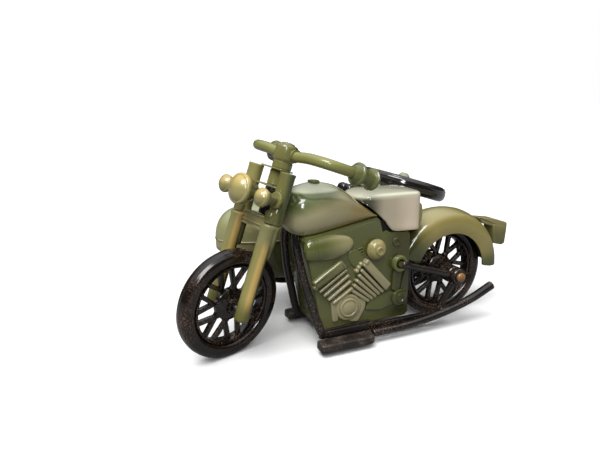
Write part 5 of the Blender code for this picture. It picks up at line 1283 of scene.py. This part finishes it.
white.node_tree.links.new(tone.outputs[2], paper.inputs["Base Color"])
floor_mesh.materials.append(white)
floor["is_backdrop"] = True


def area_light(name, place, target, width, height, power):
    """Soft rectangular light that faces its target: its -Z on the line between them."""
    data = bpy.data.lights.new(name, "AREA")
    data.shape = "RECTANGLE"
    data.size, data.size_y, data.energy = width, height, power
    lamp = bpy.data.objects.new(name, data)
    bpy.context.scene.collection.objects.link(lamp)
    way = Vector(target) - Vector(place)
    lamp.location = place
    lamp.rotation_euler = way.to_track_quat("-Z", "Y").to_euler()
    return lamp


sun_data = bpy.data.lights.new("sun", "SUN")
sun_data.energy = 2.6
sun_data.angle = 0.60
sun = bpy.data.objects.new("sun", sun_data)
sun.rotation_euler = Vector((0.42, 0.38, -1.0)).to_track_quat("-Z", "Y").to_euler()
bpy.context.scene.collection.objects.link(sun)
area_light("window", (-0.32, -0.70, 0.52), (0.0, 0.0, 0.05), 0.12, 0.30, 2.0)

world = bpy.data.worlds.new("studio")
world.use_nodes = True
sky = world.node_tree
background = sky.nodes["Background"]
up = sky.nodes.new("ShaderNodeSeparateXYZ")
sky.links.new(sky.nodes.new("ShaderNodeTexCoord").outputs["Generated"], up.inputs["Vector"])
rise = sky.nodes.new("ShaderNodeMapRange")
rise.interpolation_type = "SMOOTHSTEP"
for socket, value in (("From Min", 0.30), ("From Max", 0.95), ("To Min", 0.04), ("To Max", 1.10)):
    rise.inputs[socket].default_value = value
sky.links.new(up.outputs["Z"], rise.inputs["Value"])
sight = sky.nodes.new("ShaderNodeLightPath")
blend = sky.nodes.new("ShaderNodeMix")
sky.links.new(sight.outputs["Is Camera Ray"], blend.inputs["Factor"])
sky.links.new(rise.outputs["Result"], blend.inputs["A"])
blend.inputs["B"].default_value = 1.0
sky.links.new(blend.outputs["Result"], background.inputs["Strength"])
background.inputs["Color"].default_value = (1.0, 1.0, 1.0, 1.0)
bpy.context.scene.world = world
bpy.context.scene.view_settings.view_transform = "Standard"

# %% Camera
camera_data = bpy.data.cameras.new("camera")
camera_data.lens = 30.864
camera_data.sensor_width = 36.0
camera_data.clip_start = 0.001
camera_data.shift_x = 0.0035
camera = bpy.data.objects.new("camera", camera_data)
camera.location = (-0.1444, -0.2752, 0.1347)
camera.rotation_euler = (radians(75.9), radians(0.2), radians(-23.29))
bpy.context.scene.collection.objects.link(camera)
bpy.context.scene.camera = camera
print("camera at", tuple(round(v, 4) for v in camera.location))


# %% [markdown]
# ## Size and finish
# The finished toy must fill the same box as the working model. Both boxes are printed, and the
# last line prints the number of pieces and faces.

# %% Size, then the count of pieces
def plain(box):
    """A box as plain lists of numbers."""
    return [[round(float(v), 6) for v in corner] for corner in box]


finished_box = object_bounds()
{"model": plain(model_box), "finished": plain(finished_box)}
print("model", plain(model_box), "finished", plain(finished_box))
print("pieces", len(MADE), "faces", sum(count for name, count in MADE))
